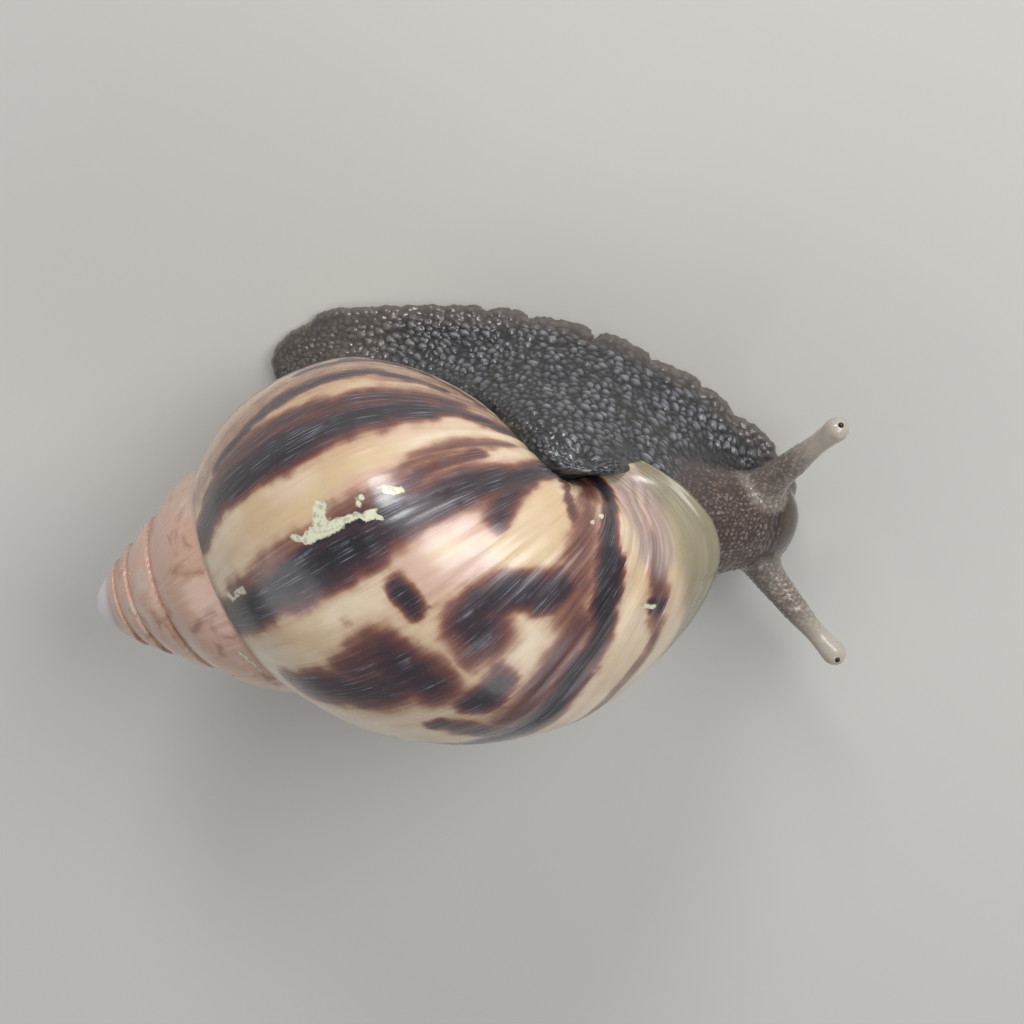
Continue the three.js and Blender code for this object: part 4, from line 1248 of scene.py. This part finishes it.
class SNAIL_OT_eyes(bpy.types.Operator):
    """Build the two eyes on their tentacles"""

    bl_idname = "snail.eyes"
    bl_label = "Eyes"

    def execute(self, context):
        settings = context.scene.snail_eyes
        material = new_material("black_eye_lens", black_eye_lens, settings)
        for side in ("left", "right"):
            low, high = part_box("eye_" + side)
            middle = (low + high) / 2
            radius = (high - low).length / 2 / math.sqrt(3)
            bpy.ops.object.select_all(action="DESELECT")
            bpy.ops.mesh.primitive_uv_sphere_add(
                segments=settings.facets, ring_count=settings.facets // 2, radius=radius, location=middle
            )
            eye = bpy.context.object
            bpy.ops.object.transform_apply(location=True, rotation=True, scale=True)
            way = (middle - Vector(TENTACLES[side][-1]) * MM).normalized()
            outwards = read(eye.data.polygons, "center") - np.array(middle)
            pick_faces(eye, outwards @ np.array(way) > settings.lens_edge * radius)
            bpy.ops.mesh.inset(thickness=settings.lens_rim * radius)
            bpy.ops.transform.translate(value=way * settings.lens_bulge * radius)
            bpy.ops.object.mode_set(mode="OBJECT")
            use_modifier(eye, "SUBSURF", levels=1, render_levels=1)
            bpy.ops.object.shade_smooth()
            eye.data.materials.append(material)
            dress(eye, "eye_lens_" + side, "eye", "eye_" + side)
        return {"FINISHED"}


class SNAIL_OT_stage(bpy.types.Operator):
    """Set the floor, the lights and the camera"""

    bl_idname = "snail.stage"
    bl_label = "Stage"

    def execute(self, context):
        settings = context.scene.snail_stage
        bpy.ops.object.select_all(action="DESELECT")
        bpy.ops.mesh.primitive_plane_add(size=FLOOR_SIZE, location=(0, 0, -FLOOR_DROP))
        floor = bpy.context.object
        floor.name = "floor"
        floor.data.materials.append(new_material("matt_painted_floor", matt_painted_floor, settings))

        for name, place, width, power in (
            ("key_light", (0.23, 0.45, 0.40), 0.34, settings.key),
            ("spark_light", (-0.18, 0.62, 0.29), 0.2, settings.spark),
            ("fill_light", (0.55, -0.35, 0.40), 0.5, settings.fill),
            ("back_light", (-0.55, -0.35, 0.45), 0.5, settings.fill),
        ):
            bpy.ops.object.light_add(type="AREA", location=place)
            light = bpy.context.object
            light.name = name
            light.rotation_euler = (-Vector(place)).to_track_quat("-Z", "Y").to_euler()
            light.data.shape = "DISK"
            light.data.size = width
            light.data.energy = power

        world = bpy.data.worlds.new("studio")
        context.scene.world = world
        world.use_nodes = True
        backdrop = world.node_tree.nodes["Background"]
        backdrop.inputs["Color"].default_value = colour("#e9edf2")
        backdrop.inputs["Strength"].default_value = settings.room
        context.scene.view_settings.view_transform = "Standard"

        bpy.ops.object.camera_add()
        camera = bpy.context.object
        camera.name = "camera"
        camera.data.sensor_width = 36
        camera.data.lens = settings.lens
        camera.data.clip_start = 0.01
        right, down = Vector(CAMERA_RIGHT), Vector(CAMERA_DOWN)
        basis = Matrix((right, -down, down.cross(right))).transposed().to_4x4()
        camera.matrix_world = Matrix.Translation(CAMERA_PLACE) @ basis
        context.scene.camera = camera
        return {"FINISHED"}


class SNAIL_PT_panel(bpy.types.Panel):
    """Buttons that build the pieces of the snail"""

    bl_idname = "SNAIL_PT_panel"
    bl_label = "Snail"
    bl_space_type = "VIEW_3D"
    bl_region_type = "UI"
    bl_category = "Snail"

    def draw(self, context):
        for operator, _ in STEPS:
            self.layout.operator(operator.bl_idname)


STEPS = (
    (SNAIL_OT_shell, ("snail_shell", ShellSettings)),
    (SNAIL_OT_skin, ("snail_skin", SkinSettings)),
    (SNAIL_OT_eyes, ("snail_eyes", EyeSettings)),
    (SNAIL_OT_stage, ("snail_stage", StageSettings)),
)


def register():
    for operator, (name, group) in STEPS:
        bpy.utils.register_class(group)
        setattr(bpy.types.Scene, name, PointerProperty(type=group))
        bpy.utils.register_class(operator)
    bpy.utils.register_class(SNAIL_PT_panel)


def unregister():
    bpy.utils.unregister_class(SNAIL_PT_panel)
    for operator, (name, group) in reversed(STEPS):
        bpy.utils.unregister_class(operator)
        delattr(bpy.types.Scene, name)
        bpy.utils.unregister_class(group)


def main():
    register()
    bpy.ops.snail.shell()
    bpy.ops.snail.skin()
    bpy.ops.snail.eyes()
    bpy.ops.snail.stage()


if __name__ == "__main__":
    main()
